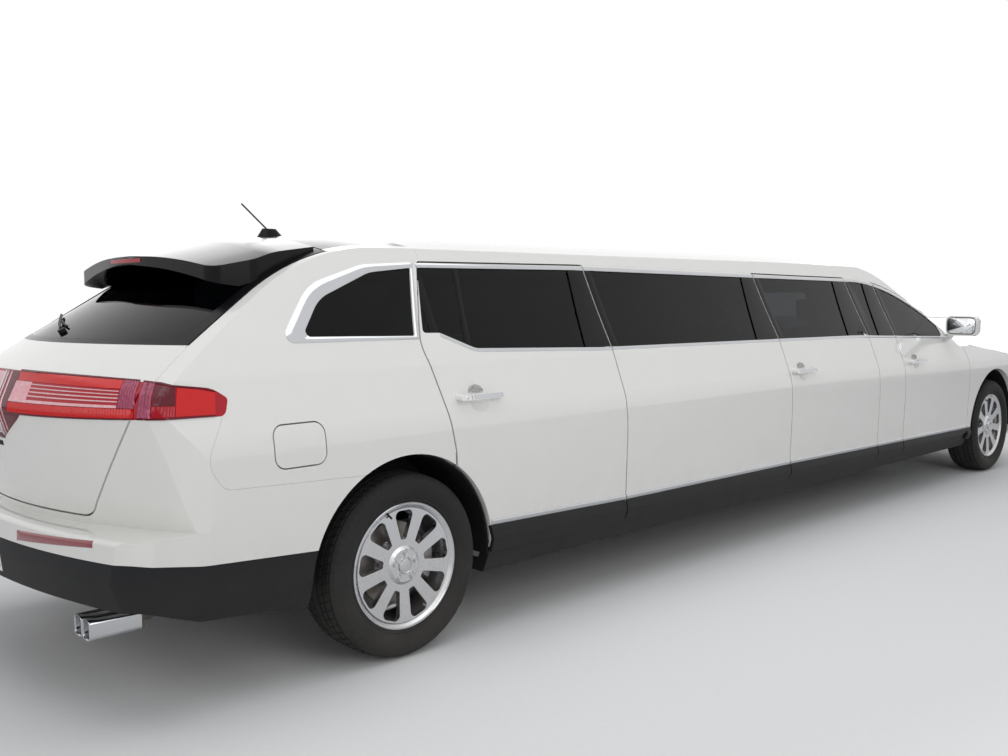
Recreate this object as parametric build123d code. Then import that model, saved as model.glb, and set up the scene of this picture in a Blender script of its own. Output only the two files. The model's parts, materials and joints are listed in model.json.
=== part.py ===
from build123d import *
import math
import os

# Stretch limousine on a crossover body: five doors, liftgate, hood, steered front wheels.
# Millimetres. +X points to the nose, +Y to the left side, +Z up.
# The origin is on the ground, midway along the length, on the centre plane.

os.makedirs("parts", exist_ok=True)

# Overall sizes
LENGTH = 8321.0
HEIGHT = 1712.0
HALF_WIDTH = 962.0
WHEELBASE = 6043.0
FRONT_OVERHANG = 1004.0
TRACK = 1650.0
BODY_BOTTOM = 250.0

# Wheels
TYRE_RADIUS = 370.0
TYRE_WIDTH = 235.0
RIM_RADIUS = 254.0
SPOKES = 9

# Stations along the car
NOSE = LENGTH / 2
TAIL = -NOSE
FRONT_AXLE = NOSE - FRONT_OVERHANG
REAR_AXLE = FRONT_AXLE - WHEELBASE

# Thickness of the walls, measured inwards from the painted surface
SKIN = 14.0
WALL = 50.0
GLASS_DEPTH = 5.0
GLASS_THICKNESS = 5.0
JAMB_DEPTH = 58.0
JAMB_THICKNESS = 40.0
SEAT_GAP = 0.3
SHUT_LINE = 7.0
SKIN_FLANGE = 26.0

# Crown of the roof and of the hood: both surfaces turn about lines along the car
ROOF_CROWN_AXIS = -1000.0
HOOD_CROWN_AXIS = -2600.0

# Heights along the side
BELT_FRONT = 1096.0
BELT_MIDDLE = 1150.0
BELT_REAR = 1166.0
BELT_TAIL = 1262.0
CANTRAIL_DROP = 124.0
DOOR_BOTTOM = 360.0
BUMPER_SHELF = 655.0

# Door seams along the car
REAR_DOOR_BACK = REAR_AXLE + 239.0
REAR_DOOR_FRONT = REAR_AXLE + 1342.0
FRONT_DOOR_FRONT = FRONT_AXLE - 530.0
FRONT_DOOR_BACK = FRONT_AXLE - 1653.0
MIDDLE_DOOR_FRONT = FRONT_AXLE - 2041.0
MIDDLE_DOOR_LENGTH = 1125.0
MIDDLE_DOOR_BACK = MIDDLE_DOOR_FRONT - MIDDLE_DOOR_LENGTH

# Wheel arches
REAR_ARCH_RADIUS = 448.0
FRONT_ARCH_RADIUS = 462.0
LINER_THICKNESS = 6.0
REAR_LINER_INNER = 610.0
FRONT_LINER_INNER = 500.0

# Floor
FLOOR_THICKNESS = 30.0
FLOOR_TOP = 385.0
LOAD_FLOOR_TOP = 640.0
FIREWALL = FRONT_AXLE - 640.0

FAR = 2500.0


def inset_rows(rows, depth):
    """Move every side of a closed outline inwards; rows are (a, b, corner radius)."""
    turning = sum(a[0] * b[1] - b[0] * a[1] for a, b in zip(rows, rows[1:] + rows[:1]))
    side = math.copysign(1, turning)
    moved = []
    for before, here, after in zip(rows[-1:] + rows[:-1], rows, rows[1:] + rows[:1]):
        run_in = Vector(here[0] - before[0], here[1] - before[1]).normalized()
        run_out = Vector(after[0] - here[0], after[1] - here[1]).normalized()
        normal_in = Vector(-run_in.Y, run_in.X) * side
        normal_out = Vector(-run_out.Y, run_out.X) * side
        shift = (normal_in + normal_out) / (1 + normal_in.dot(normal_out)) * depth
        bulges = (run_in.X * run_out.Y - run_in.Y * run_out.X) * side > 0
        radius = here[2]
        if radius:
            radius = max(radius - depth, 1.0) if bulges else radius + depth
        moved.append((here[0] + shift.X, here[1] + shift.Y, radius))
    return moved


def rounded_face(rows, plane):
    """Face of straight runs joined by tangent arcs; rows are (a, b, corner radius)."""
    arcs = []
    starts = []
    ends = []
    for before, here, after in zip(rows[-1:] + rows[:-1], rows, rows[1:] + rows[:1]):
        corner = Vector(here[0], here[1])
        back = (Vector(before[0], before[1]) - corner).normalized()
        ahead = (Vector(after[0], after[1]) - corner).normalized()
        half = math.acos(max(-1.0, min(1.0, back.dot(ahead)))) / 2
        if not here[2] or half > math.pi / 2 - 1e-4:
            starts.append(corner)
            ends.append(corner)
            continue
        first = corner + back * (here[2] / math.tan(half))
        last = corner + ahead * (here[2] / math.tan(half))
        centre = corner + (back + ahead).normalized() * (here[2] / math.sin(half))
        middle = centre + (corner - centre).normalized() * here[2]
        arcs.append(ThreePointArc(first, middle, last))
        starts.append(first)
        ends.append(last)
    lines = [
        Line(end, start)
        for end, start in zip(ends, starts[1:] + starts[:1])
        if (start - end).length > 1e-3
    ]
    edges = [edge for curve in lines + arcs for edge in curve.edges()]
    return plane * Face(Wire(edges))


SIDE_VIEW = Plane(origin=(0, 0, 0), x_dir=(1, 0, 0), z_dir=(0, -1, 0))
REAR_VIEW = Plane(origin=(0, 0, 0), x_dir=(0, 1, 0), z_dir=(1, 0, 0))
TOP_VIEW = Plane.XY


def side_prism(rows, y_low=-FAR, y_high=FAR):
    """Prism across the car from an outline of x, z."""
    face = rounded_face(rows, SIDE_VIEW).moved(Location((0, y_low, 0)))
    return extrude(face, y_high - y_low, dir=(0, 1, 0))


def rear_prism(rows, x_low, x_high):
    """Prism along the car from an outline of y, z."""
    face = rounded_face(rows, REAR_VIEW).moved(Location((x_low, 0, 0)))
    return extrude(face, x_high - x_low, dir=(1, 0, 0))


def plan_prism(rows, z_low=0.0, z_high=FAR):
    """Upright prism from an outline of x, y."""
    face = rounded_face(rows, TOP_VIEW).moved(Location((0, 0, z_low)))
    return extrude(face, z_high - z_low, dir=(0, 0, 1))


def block(x_range, y_range, z_range):
    """Plain box between two values on each axis."""
    size = [high - low for low, high in (x_range, y_range, z_range)]
    centre = [(high + low) / 2 for low, high in (x_range, y_range, z_range)]
    return Pos(*centre) * Box(*size)


def both_sides(right):
    """The right-hand shape and its mirror image."""
    return [right, mirror(right, about=Plane.XZ)]


def rod(start, end, radius):
    """Round bar between two points."""
    path = Vector(*end) - Vector(*start)
    return extrude(Plane(origin=start, z_dir=path.normalized()) * Circle(radius), path.length)


def mirrored_rows(half):
    """Close a half outline of a, b, radius (a positive) over the centre plane."""
    return list(half) + [(-a, b, radius) for a, b, radius in reversed(half)]


# Body form
# Half section of the body: tuck from the widest point, height, corner radius
LOWER_SECTION = (
    (72, BODY_BOTTOM, 20),
    (16, 390, 200),
    (0, 800, 900),
    (10, 935, 300),
    (92, BELT_MIDDLE + 5, 140),
)
# Upper part of the half section: half width, drop from the roof, corner radius
UPPER_SECTION = (
    (757, 340, 3500),
    (622, 55, 0),
    (560, -80, 0),
)
SECTION = [(HALF_WIDTH - tuck, z, radius) for tuck, z, radius in LOWER_SECTION] + [
    (y, HEIGHT - drop, radius) for y, drop, radius in UPPER_SECTION
]

# Centre line of the cabin top: x, height, corner radius
CABIN_LINE = [
    (TAIL - 300, ROOF_CROWN_AXIS + 300, 0),
    (FRONT_AXLE - 150, ROOF_CROWN_AXIS + 300, 0),
    (FRONT_AXLE - 150, 1000, 0),
    (FRONT_AXLE - 430, 1140, 0),
    (FRONT_AXLE - 1640, HEIGHT - 8, 1200),
    (FRONT_AXLE - 2900, HEIGHT, 4000),
    (TAIL + 1042, HEIGHT, 1300),
    (TAIL + 110, 1187, 0),
    (TAIL - 300, 948, 0),
]
HOOD_LINE = [
    (FRONT_AXLE - 1650, HOOD_CROWN_AXIS + 600, 0),
    (NOSE + 300, HOOD_CROWN_AXIS + 600, 0),
    (NOSE + 300, 900, 0),
    (NOSE - 210, 1000, 500),
    (FRONT_AXLE - 450, 1150, 0),
    (FRONT_AXLE - 1650, 1150, 0),
]

# Tail and nose seen from the side: setback from the end, height, corner radius
TAIL_UPPER = ((95, 2300, 0), (95, 1175, 70), (30, 1050, 60), (90, 735, 80), (260, 100, 0))
TAIL_LOWER = ((8, BUMPER_SHELF, 18), (0, 520, 120), (12, 420, 60), (70, 320, 60), (240, 100, 0))
NOSE_LINE = ((170, 2300, 0), (170, 940, 90), (60, 760, 120), (0, 560, 80), (10, 380, 60), (150, 100, 0))
TAIL_PLAN_RADIUS = 1900.0
BUMPER_PLAN_RADIUS = 3200.0
NOSE_PLAN_RADIUS = 1650.0
TAIL_CORNER = 430.0
BUMPER_CORNER = 190.0
NOSE_CORNER = 420.0


def crowned(rows, axis_height, inset):
    """Side outline turned about a line along the car, so that it is crowned across."""
    axis = Axis((0, 0, axis_height), (1, 0, 0))
    face = rounded_face(inset_rows(rows, inset), SIDE_VIEW)
    return revolve(face, axis, 130).rotate(axis, -65)


def end_disc(rows, end, outward, plan_radius, inset):
    """Half disc whose rim is the tail's or nose's side outline."""
    centre = end - outward * plan_radius
    outline = [(end - outward * setback, z, radius) for setback, z, radius in rows]
    outline = [(centre, rows[-1][1], 0), (centre, rows[0][1], 0)] + outline
    rim = inset_rows(outline, inset)
    rim[0] = (centre, rim[0][1], 0)
    rim[1] = (centre, rim[1][1], 0)
    axis = Axis((centre, 0, 0), (0, 0, 1))
    return revolve(rounded_face(rim, SIDE_VIEW), axis, 180).rotate(axis, -90)


def plan_corners(end, outward, plan_radius, corner):
    """Three corners of the plan outline round one end: x, y, radius."""
    half = HALF_WIDTH + 3
    centre = end - outward * plan_radius
    x = centre + outward * math.sqrt(plan_radius**2 - half**2)
    tip = x + half**2 / (x - centre)
    return [(x, -half, corner), (tip, 0, 0), (x, half, corner)]


def body_solid(inset):
    """The whole closed body, every outer surface moved inwards by inset."""
    section = rear_prism(inset_rows(mirrored_rows(SECTION), inset), TAIL - 100, NOSE + 100)
    tops = crowned(CABIN_LINE, ROOF_CROWN_AXIS, inset) + crowned(HOOD_LINE, HOOD_CROWN_AXIS, inset)
    upper_plan = plan_corners(TAIL, -1, TAIL_PLAN_RADIUS, TAIL_CORNER)
    upper_plan += reversed(plan_corners(NOSE, 1, NOSE_PLAN_RADIUS, NOSE_CORNER))
    middle = block((TAIL + TAIL_PLAN_RADIUS, NOSE - NOSE_PLAN_RADIUS), (-FAR, FAR), (0, FAR - 200))
    upper = end_disc(TAIL_UPPER, TAIL, -1, TAIL_PLAN_RADIUS, inset) + middle
    upper = upper + end_disc(NOSE_LINE, NOSE, 1, NOSE_PLAN_RADIUS, inset)
    upper = upper & plan_prism(inset_rows(upper_plan, inset))
    lower_plan = plan_corners(TAIL, -1, BUMPER_PLAN_RADIUS, BUMPER_CORNER)
    lower_plan += [(TAIL + 900, HALF_WIDTH + 3, 0), (TAIL + 900, -HALF_WIDTH - 3, 0)]
    lower = end_disc(TAIL_LOWER, TAIL, -1, BUMPER_PLAN_RADIUS, inset)
    lower = lower & plan_prism(inset_rows(lower_plan, inset))
    return section & tops & (upper + lower)



def save(node, *shapes):
    """Write one node; its solids share a file."""
    solids = [solid for shape in shapes for solid in shape.solids()]
    whole = solids[0] if len(solids) == 1 else Compound(solids)
    export_step(whole, f"parts/{node}.step")


# Forms at the depths that the walls need
OUTER = body_solid(0)
SKIN_BACK = body_solid(SKIN)
INNER = body_solid(WALL)
PAD_FACE = body_solid(JAMB_DEPTH - SEAT_GAP)
JAMB_FACE = body_solid(JAMB_DEPTH)
JAMB_BACK = body_solid(JAMB_DEPTH + JAMB_THICKNESS)
GLASS_FACE = body_solid(GLASS_DEPTH)
GLASS_BACK = body_solid(GLASS_DEPTH + GLASS_THICKNESS)
WHOLE_LENGTH = (TAIL - 300, NOSE + 300)
RIGHT_HALF = block(WHOLE_LENGTH, (-FAR, 0), (0, FAR))

shell = OUTER - INNER
skin = OUTER - SKIN_BACK
core = SKIN_BACK - INNER
pads = INNER - PAD_FACE
jamb = JAMB_FACE - JAMB_BACK
pane = GLASS_FACE - GLASS_BACK

# Side openings
CANTRAIL = HEIGHT - CANTRAIL_DROP
SIDE_BAND = [
    (REAR_DOOR_BACK, DOOR_BOTTOM, 0),
    (REAR_DOOR_BACK, 790, 300),
    (REAR_DOOR_BACK - 76, BELT_TAIL - 20, 150),
    (REAR_DOOR_BACK + 48, CANTRAIL - 4, 20),
    (REAR_AXLE + 1290, CANTRAIL, 3000),
    (FRONT_AXLE - 1406, CANTRAIL - 47, 2000),
    (FRONT_AXLE - 886, BELT_FRONT + 119, 40),
    (FRONT_AXLE - 850, BELT_FRONT + 39, 60),
    (FRONT_DOOR_FRONT - 60, BELT_FRONT - 12, 60),
    (FRONT_DOOR_FRONT, 900, 150),
    (FRONT_DOOR_FRONT, DOOR_BOTTOM, 0),
]
WINDOW_BAND = [
    (REAR_DOOR_BACK - 40, BELT_TAIL + 22, 12),
    (REAR_DOOR_BACK + 42, CANTRAIL - 32, 15),
    (REAR_AXLE + 1290, CANTRAIL - 28, 3000),
    (FRONT_AXLE - 1421, CANTRAIL - 75, 1970),
    (FRONT_AXLE - 906, BELT_FRONT + 100, 30),
    (FRONT_AXLE - 894, BELT_FRONT + 24, 12),
    (FRONT_AXLE - 2200, BELT_MIDDLE + 16, 2000),
    (REAR_AXLE + 1270, BELT_REAR + 20, 2000),
    (REAR_AXLE + 460, BELT_REAR + 46, 120),
    (REAR_AXLE + 290, BELT_TAIL + 20, 60),
]
QUARTER_WINDOW = [
    (REAR_DOOR_BACK + 2, CANTRAIL - 34, 6),
    (REAR_AXLE + 17, CANTRAIL - 56, 200),
    (REAR_AXLE - 257, CANTRAIL - 161, 200),
    (REAR_AXLE - 380, BELT_TAIL + 23, 18),
    (REAR_DOOR_BACK - 88, BELT_TAIL + 12, 8),
]
PILLAR_HALF = 45.0
JAMB_HALF = 75.0
SEAMS = (REAR_DOOR_BACK - 300, REAR_DOOR_FRONT, MIDDLE_DOOR_BACK, MIDDLE_DOOR_FRONT, FRONT_DOOR_BACK, FIREWALL + 300)
ENDS_X = (SEAMS[0], SEAMS[-1])


def strip(back, front, trim):
    """Tall block of the right half between two seams, less trim at each real seam."""
    low = back if back in ENDS_X else back + trim
    high = front if front in ENDS_X else front - trim
    return block((low, high), (-FAR, 0), (0, FAR))


def arch_rows(axle, radius, low=0.0):
    """Wheel opening: a half circle over the axle with straight sides below it."""
    return [
        (axle - radius, low, 0),
        (axle - radius, TYRE_RADIUS + radius, radius - 0.01),
        (axle + radius, TYRE_RADIUS + radius, radius - 0.01),
        (axle + radius, low, 0),
    ]


def wheel_arch(axle, radius):
    """Wheel opening cut through the right half of the car."""
    return side_prism(arch_rows(axle, radius), -FAR, 0)


rear_arch = wheel_arch(REAR_AXLE, REAR_ARCH_RADIUS)
front_arch = wheel_arch(FRONT_AXLE, FRONT_ARCH_RADIUS)
right_shell = shell & RIGHT_HALF

skin_band = (skin & side_prism(inset_rows(SIDE_BAND, SHUT_LINE), -FAR, 0)) - rear_arch
core_zone = side_prism(inset_rows(SIDE_BAND, SHUT_LINE + SKIN_FLANGE), -FAR, 0)
core_zone = core_zone - wheel_arch(REAR_AXLE, REAR_ARCH_RADIUS + SHUT_LINE)
core_band = core & core_zone
pads_band = pads & core_zone
fixed_band = shell & side_prism(inset_rows(SIDE_BAND, SEAT_GAP), -FAR, 0)
window_band = side_prism(WINDOW_BAND, -FAR, 0)
pane_band = pane & side_prism(inset_rows(WINDOW_BAND, SEAT_GAP), -FAR, 0)

HINGE_HEIGHTS = (470.0, 880.0)
HINGE_PAD = 70.0


def door_shell(back, front):
    """Door with a thin skin out to the shut line and a thick core inside it."""
    door = skin_band & strip(back, front, SHUT_LINE / 2)
    door += core_band & strip(back, front, SHUT_LINE / 2 + SKIN_FLANGE)
    door -= window_band & strip(back, front, PILLAR_HALF)
    edge = min(front - SHUT_LINE / 2, FRONT_DOOR_FRONT - SHUT_LINE) - SKIN_FLANGE
    for height in HINGE_HEIGHTS:
        door += pads_band & block((edge - HINGE_PAD, edge - 2), (-FAR, 0), (height, height + HINGE_PAD))
    return door


def fixed_panel(back, front, windows):
    """Fixed side panel between two doors, with a window for each stretch in windows."""
    panel = fixed_band & strip(back, front, SHUT_LINE / 2)
    for low, high in windows:
        panel -= window_band & strip(low, high, PILLAR_HALF)
    return panel


def side_glass(back, front):
    """Flush pane with a hair of room in its opening."""
    return pane_band & strip(back, front, PILLAR_HALF + SEAT_GAP)


REAR_DOOR = (SEAMS[0], REAR_DOOR_FRONT)
BLANK = (REAR_DOOR_FRONT, MIDDLE_DOOR_BACK)
MIDDLE_DOOR = (MIDDLE_DOOR_BACK, MIDDLE_DOOR_FRONT)
FILLER = (MIDDLE_DOOR_FRONT, FRONT_DOOR_BACK)
FRONT_DOOR = (FRONT_DOOR_BACK, SEAMS[-1])

# Handles: a bar standing off the door over a shallow dished scoop
HANDLE_LENGTH = 250.0
HANDLE_HEIGHT = 27.0
HANDLE_FACE = body_solid(-36)
HANDLE_BACK = body_solid(-19)
SCOOP_RADIUS = 100.0
SCOOP_DEPTH = 11.0
# Opening, rear end of the handle, its height, and the door's own half width there
DOOR_TABLE = (
    (REAR_DOOR, REAR_AXLE + 270, 1020, 920),
    (MIDDLE_DOOR, MIDDLE_DOOR_BACK + 25, 985, 933),
    (FRONT_DOOR, FRONT_DOOR_BACK + 60, 966, 941),
)


def handled_door(opening, handle_back, height, half_width):
    """Door with its handle and scoop."""
    door = door_shell(*opening)
    low, high = height - HANDLE_HEIGHT / 2, height + HANDLE_HEIGHT / 2
    rows = [
        (handle_back, low, 10),
        (handle_back, high, 10),
        (handle_back + HANDLE_LENGTH, high - 2, 10),
        (handle_back + HANDLE_LENGTH, low + 2, 10),
    ]
    bar = (HANDLE_FACE - SKIN_BACK) & side_prism(rows, -FAR, 0)
    bar -= HANDLE_BACK & block((handle_back + 26, handle_back + HANDLE_LENGTH - 22), (-FAR, 0), (0, FAR))
    middle = handle_back + HANDLE_LENGTH * 0.5
    door -= Pos(middle, -half_width - SCOOP_RADIUS + SCOOP_DEPTH, height + 8) * Sphere(SCOOP_RADIUS)
    return door + bar


rear_door, middle_door, front_door = [handled_door(*row) for row in DOOR_TABLE]

# Mirrors on the front doors: along the car, across, up, half width, half height, corner
MIRROR_GLASS = (FRONT_AXLE - 1008, -1068.0, 1203.0)
MIRROR_STATIONS = (
    (0, 0, 0, 112, 72, 44),
    (55, -2, 0, 116, 76, 50),
    (120, 14, -10, 80, 52, 40),
)
sections = []
for along, across, up, half_wide, half_high, corner in MIRROR_STATIONS:
    origin = (MIRROR_GLASS[0] + along, MIRROR_GLASS[1] + across, MIRROR_GLASS[2] + up)
    plane = Plane(origin=origin, x_dir=(0, 1, 0), z_dir=(1, 0, 0))
    outline = Rectangle(2 * half_wide, 2 * half_high)
    sections.append(plane * fillet(outline.vertices(), corner))
mirror_shell = loft(sections, ruled=True)
glass_plane = Plane(origin=MIRROR_GLASS, x_dir=(0, 1, 0), z_dir=(1, 0, 0))
mirror_recess = extrude(glass_plane * fillet(Rectangle(204, 124).vertices(), 36), 7, dir=(1, 0, 0))
mirror_foot = rod((MIRROR_GLASS[0] + 70, -985, 1150), (FRONT_DOOR_FRONT - 330, -895, 1100), 24)
front_door += mirror_shell - mirror_recess
front_door += mirror_foot - (INNER & block(WHOLE_LENGTH, (-FAR, 0), (0, FAR)))

for name, door, opening in (("rear", rear_door, REAR_DOOR), ("front", front_door, FRONT_DOOR)):
    glass = side_glass(*opening)
    for side, panel, window in zip(("right", "left"), both_sides(door), both_sides(glass)):
        save(f"{name}_door_{side}", panel)
        save(f"{name}_door_glass_{side}", window)
save("middle_door_right", middle_door)
save("middle_door_glass_right", side_glass(*MIDDLE_DOOR))

left_panel = fixed_panel(REAR_DOOR_FRONT, FRONT_DOOR_BACK, (BLANK, MIDDLE_DOOR, FILLER))
right_panels = [fixed_panel(*opening, (opening,)) for opening in (BLANK, FILLER)]
save("side_panels", mirror(left_panel, about=Plane.XZ), *right_panels)

# Jambs: the frames that the doors close against
jamb_zone = side_prism(inset_rows(SIDE_BAND, -55), -FAR, 0)
jamb_frame = (jamb & jamb_zone) - wheel_arch(REAR_AXLE, REAR_ARCH_RADIUS + LINER_THICKNESS + SEAT_GAP)
opening_zone = side_prism(inset_rows(SIDE_BAND, JAMB_HALF), -FAR, 0) - block(WHOLE_LENGTH, (-FAR, 0), (0, 440))
for back, front in zip(SEAMS, SEAMS[1:]):
    jamb_frame -= opening_zone & strip(back, front, JAMB_HALF)

# Fixed seams of the roof, nose and tail
FIXED_SEAM = 0.8
rest = (right_shell - side_prism(SIDE_BAND, -FAR, 0)) - rear_arch - front_arch


def two_sided(half):
    """Join a right-hand shape with its mirror image across the centre plane."""
    return half + mirror(half, about=Plane.XZ)


WINDSCREEN_TOP = FRONT_AXLE - 1500
WINDSCREEN_BASE = FRONT_AXLE - 490
COWL = FRONT_AXLE - 395
windscreen_rows = [
    (WINDSCREEN_TOP, 545, 60),
    (WINDSCREEN_BASE, 790, 60),
    (WINDSCREEN_BASE, -790, 60),
    (WINDSCREEN_TOP, -545, 60),
]
hood_rows = [
    (COWL, 800, 0),
    (NOSE - 420, 780, 0),
    (NOSE - 205, 560, 300),
    (NOSE - 125, 0, 900),
    (NOSE - 205, -560, 300),
    (NOSE - 420, -780, 0),
    (COWL, -800, 0),
]
HOOD_LIP = 874.0
windscreen_zone = plan_prism(windscreen_rows, 1000)
windscreen_pane = plan_prism(inset_rows(windscreen_rows, SEAT_GAP), 1000)
save("windscreen", pane & windscreen_pane)
rest -= windscreen_zone

hood_zone = plan_prism(hood_rows, HOOD_LIP)
hood_skin = skin & plan_prism(inset_rows(hood_rows, SHUT_LINE), HOOD_LIP)
hood_core = core & plan_prism(inset_rows(hood_rows, SHUT_LINE + SKIN_FLANGE), HOOD_LIP)
hood_pads = pads & block((COWL + SHUT_LINE + SKIN_FLANGE, COWL + 110), (-700, 700), (HOOD_LIP, FAR))
hood_pads -= block(WHOLE_LENGTH, (-560, 560), (0, FAR))
save("hood", hood_skin + hood_core + hood_pads)
rest -= hood_zone
cowl_zone = block((WINDSCREEN_BASE - 80, COWL), (-810, 0), (900, FAR))
cowl_space = block((WINDSCREEN_BASE - 80, COWL - FIXED_SEAM), (-810 + FIXED_SEAM, 0), (900, FAR))
save("cowl_panel", two_sided(rest & cowl_space))
rest -= cowl_zone

# Tail: liftgate seen from behind, y, height, corner radius
TAILGATE_TOP = REAR_AXLE - 140
GATE_SPLIT = 1268.0
tailgate_half = (
    (561, 678, 90),
    (824, 1036, 30),
    (816, 1150, 0),
    (752, 1268, 60),
    (600, HEIGHT - 40, 0),
    (560, HEIGHT + 200, 0),
)
tailgate_rows = mirrored_rows(tailgate_half)
gate_glass_rows = mirrored_rows(((690, GATE_SPLIT + 14, 40), (595, 1560, 60)))
tail_space = (TAIL - 200, TAILGATE_TOP)
gate_limit = side_prism([
    (TAIL - 300, 0, 0),
    (TAIL + 330, 0, 0),
    (TAIL + 330, 1140, 0),
    (TAIL + 480, GATE_SPLIT, 0),
    (TAILGATE_TOP, 1420, 0),
    (TAILGATE_TOP, 2200, 0),
    (TAIL - 300, 2200, 0),
])
gate_zone = rear_prism(tailgate_rows, *tail_space) & gate_limit
gate_skin = skin & rear_prism(inset_rows(tailgate_rows, SHUT_LINE), TAIL - 200, TAILGATE_TOP - SHUT_LINE)
inner_rows = inset_rows(tailgate_rows, SHUT_LINE + SKIN_FLANGE)
gate_core_zone = rear_prism(inner_rows, TAIL - 200, TAILGATE_TOP - SHUT_LINE - SKIN_FLANGE)
gate_core = core & gate_core_zone
gate_opening = rear_prism(gate_glass_rows, TAIL - 200, TAILGATE_TOP - 180)
gate_glass_zone = rear_prism(inset_rows(gate_glass_rows, SEAT_GAP), TAIL - 200, TAILGATE_TOP - 180 - SEAT_GAP)
gate_whole = (gate_skin + gate_core) & gate_limit
above_split = block(WHOLE_LENGTH, (-FAR, FAR), (GATE_SPLIT, FAR))
LAMP_DEPTH = 28.0
LAMP_BACKING_DEPTH = 44.0
LAMP_BACKING_HALF = 760.0
lamp_rows = [
    (TAIL + 534, 1090, 14),
    (TAIL + 484, 1127, 110),
    (TAIL + 254, 1159, 300),
    (TAIL + 30, 1180, 0),
    (TAIL - 200, 1204, 0),
    (TAIL - 200, 1016, 0),
    (TAIL + 40, 1022, 0),
    (TAIL + 254, 1038, 400),
    (TAIL + 512, 1032, 30),
]
lamp_zone = side_prism(lamp_rows)
lamp_inner = side_prism(inset_rows(lamp_rows, SEAT_GAP))
lamp_floor = body_solid(LAMP_DEPTH + SEAT_GAP) - body_solid(LAMP_BACKING_DEPTH)
lamp_backing = lamp_floor & block((TAIL - 200, TAIL + 318), (-LAMP_BACKING_HALF, LAMP_BACKING_HALF), (985, 1215))
save("tail_lamp_bar", (gate_whole & lamp_inner) - body_solid(LAMP_DEPTH))
save("tailgate", (gate_whole - lamp_zone - above_split) + lamp_backing)
hinge_edge = TAILGATE_TOP - SHUT_LINE - SKIN_FLANGE
gate_pads = pads & gate_core_zone & block((hinge_edge - HINGE_PAD, hinge_edge - 2), (-520, 520), (0, FAR))
gate_pads -= block(WHOLE_LENGTH, (-380, 380), (0, FAR))
# Spoiler at the top of the rear glass
SPOILER_EDGE = TAIL + 580
spoiler_rows = [
    (hinge_edge + 8, HEIGHT - 40, 0),
    (hinge_edge + 8, HEIGHT - 18, 0),
    (TAIL + 900, 1678, 500),
    (SPOILER_EDGE, 1600, 12),
    (SPOILER_EDGE - 6, 1564, 12),
    (TAIL + 740, 1552, 0),
]
spoiler_plan = [
    (hinge_edge + 20, -560, 0),
    (TAIL + 800, -634, 90),
    (SPOILER_EDGE + 60, -600, 70),
    (SPOILER_EDGE - 14, 0, 1500),
    (SPOILER_EDGE + 60, 600, 70),
    (TAIL + 800, 634, 90),
    (hinge_edge + 20, 560, 0),
]
spoiler = crowned(spoiler_rows, ROOF_CROWN_AXIS, 0) & plan_prism(spoiler_plan)
spoiler -= OUTER & block((TAIL - 200, TAILGATE_TOP - 170), (-FAR, FAR), (0, FAR))
spoiler -= SKIN_BACK
gate_frame_outer = (gate_whole & above_split) - gate_opening + gate_pads
save("tailgate_frame", gate_frame_outer + spoiler)
save("tailgate_glass", pane & gate_glass_zone)
rest -= gate_zone

BLACK_ROOF_FRONT = REAR_AXLE + 290
BLACK_ROOF_HALF = 585.0
black_roof_zone = block((TAILGATE_TOP - 60, BLACK_ROOF_FRONT), (-BLACK_ROOF_HALF, BLACK_ROOF_HALF), (1400, FAR))
black_roof_space = block(
    (TAILGATE_TOP - 60, BLACK_ROOF_FRONT - FIXED_SEAM),
    (-BLACK_ROOF_HALF + FIXED_SEAM, BLACK_ROOF_HALF - FIXED_SEAM),
    (1400, FAR),
)
MAST_BASE = TAIL + 1256
MAST_FOOT = HEIGHT - 16
MAST_LEAN = 143.0
mast = loft([
    Plane(origin=(MAST_BASE, 0, MAST_FOOT)) * Ellipse(72, 27),
    Plane(origin=(MAST_BASE - 8, 0, MAST_FOOT + 44)) * Ellipse(34, 13),
])
mast += rod((MAST_BASE - 8, 0, MAST_FOOT + 32), (MAST_BASE - MAST_LEAN, 0, MAST_FOOT + 148), 3.5)
save("rear_roof_panel", ((shell - gate_zone) & black_roof_space) + mast)
rest -= black_roof_zone

lamp_outer = rest & lamp_inner
save("tail_lamps_outer", *both_sides(lamp_outer))
rest -= lamp_zone

# Rear bumper and its black lower part
BUMPER_SEAM = (
    (REAR_AXLE + 100, 752, 0),
    (TAIL + 480, 787, 50),
    (TAIL + 415, 880, 90),
    (TAIL + 505, 1040, 0),
    (TAIL - 300, 1040, 0),
    (TAIL - 300, 100, 0),
    (REAR_AXLE + 100, 100, 0),
)
VALANCE_EDGE = (
    (REAR_AXLE + 100, 480, 0),
    (TAIL + 400, 541, 400),
    (TAIL + 150, 584, 300),
    (TAIL - 300, 560, 0),
    (TAIL - 300, 100, 0),
    (REAR_AXLE + 100, 100, 0),
)
PLATE_CENTRE = 546.0
PLATE_HALF = (160.0, 84.0)
PLATE_HOLES = (178.0, 121.0)
PLATE_HOLE_RADIUS = 3.5
PLATE_FACE = TAIL + 14.0

rear_half = block((TAIL - 300, REAR_AXLE), (-FAR, 0), (0, FAR))
tail_rest = rest & rear_half
bumper_zone = side_prism(list(BUMPER_SEAM))
valance_zone = side_prism(list(VALANCE_EDGE))
under_rows = [
    (REAR_AXLE + 50, -HALF_WIDTH + 90, 0),
    (TAIL + 300, -HALF_WIDTH + 130, 120),
    (TAIL + 150, -HALF_WIDTH + 320, 120),
    (TAIL + 130, 10, 0),
    (REAR_AXLE + 50, 10, 0),
]
underside = plan_prism(under_rows, 0, 420)
tail_low = (tail_rest & side_prism(inset_rows(list(BUMPER_SEAM), FIXED_SEAM))) - underside
valance_cut = side_prism([
    (REAR_AXLE + 100, 200, 0),
    (REAR_AXLE + 100, 262, 0),
    (REAR_AXLE - 420, 300, 0),
    (TAIL + 390, 349, 100),
    (TAIL + 190, 425, 150),
    (TAIL - 300, 430, 0),
    (TAIL - 300, 200, 0),
])
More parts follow.
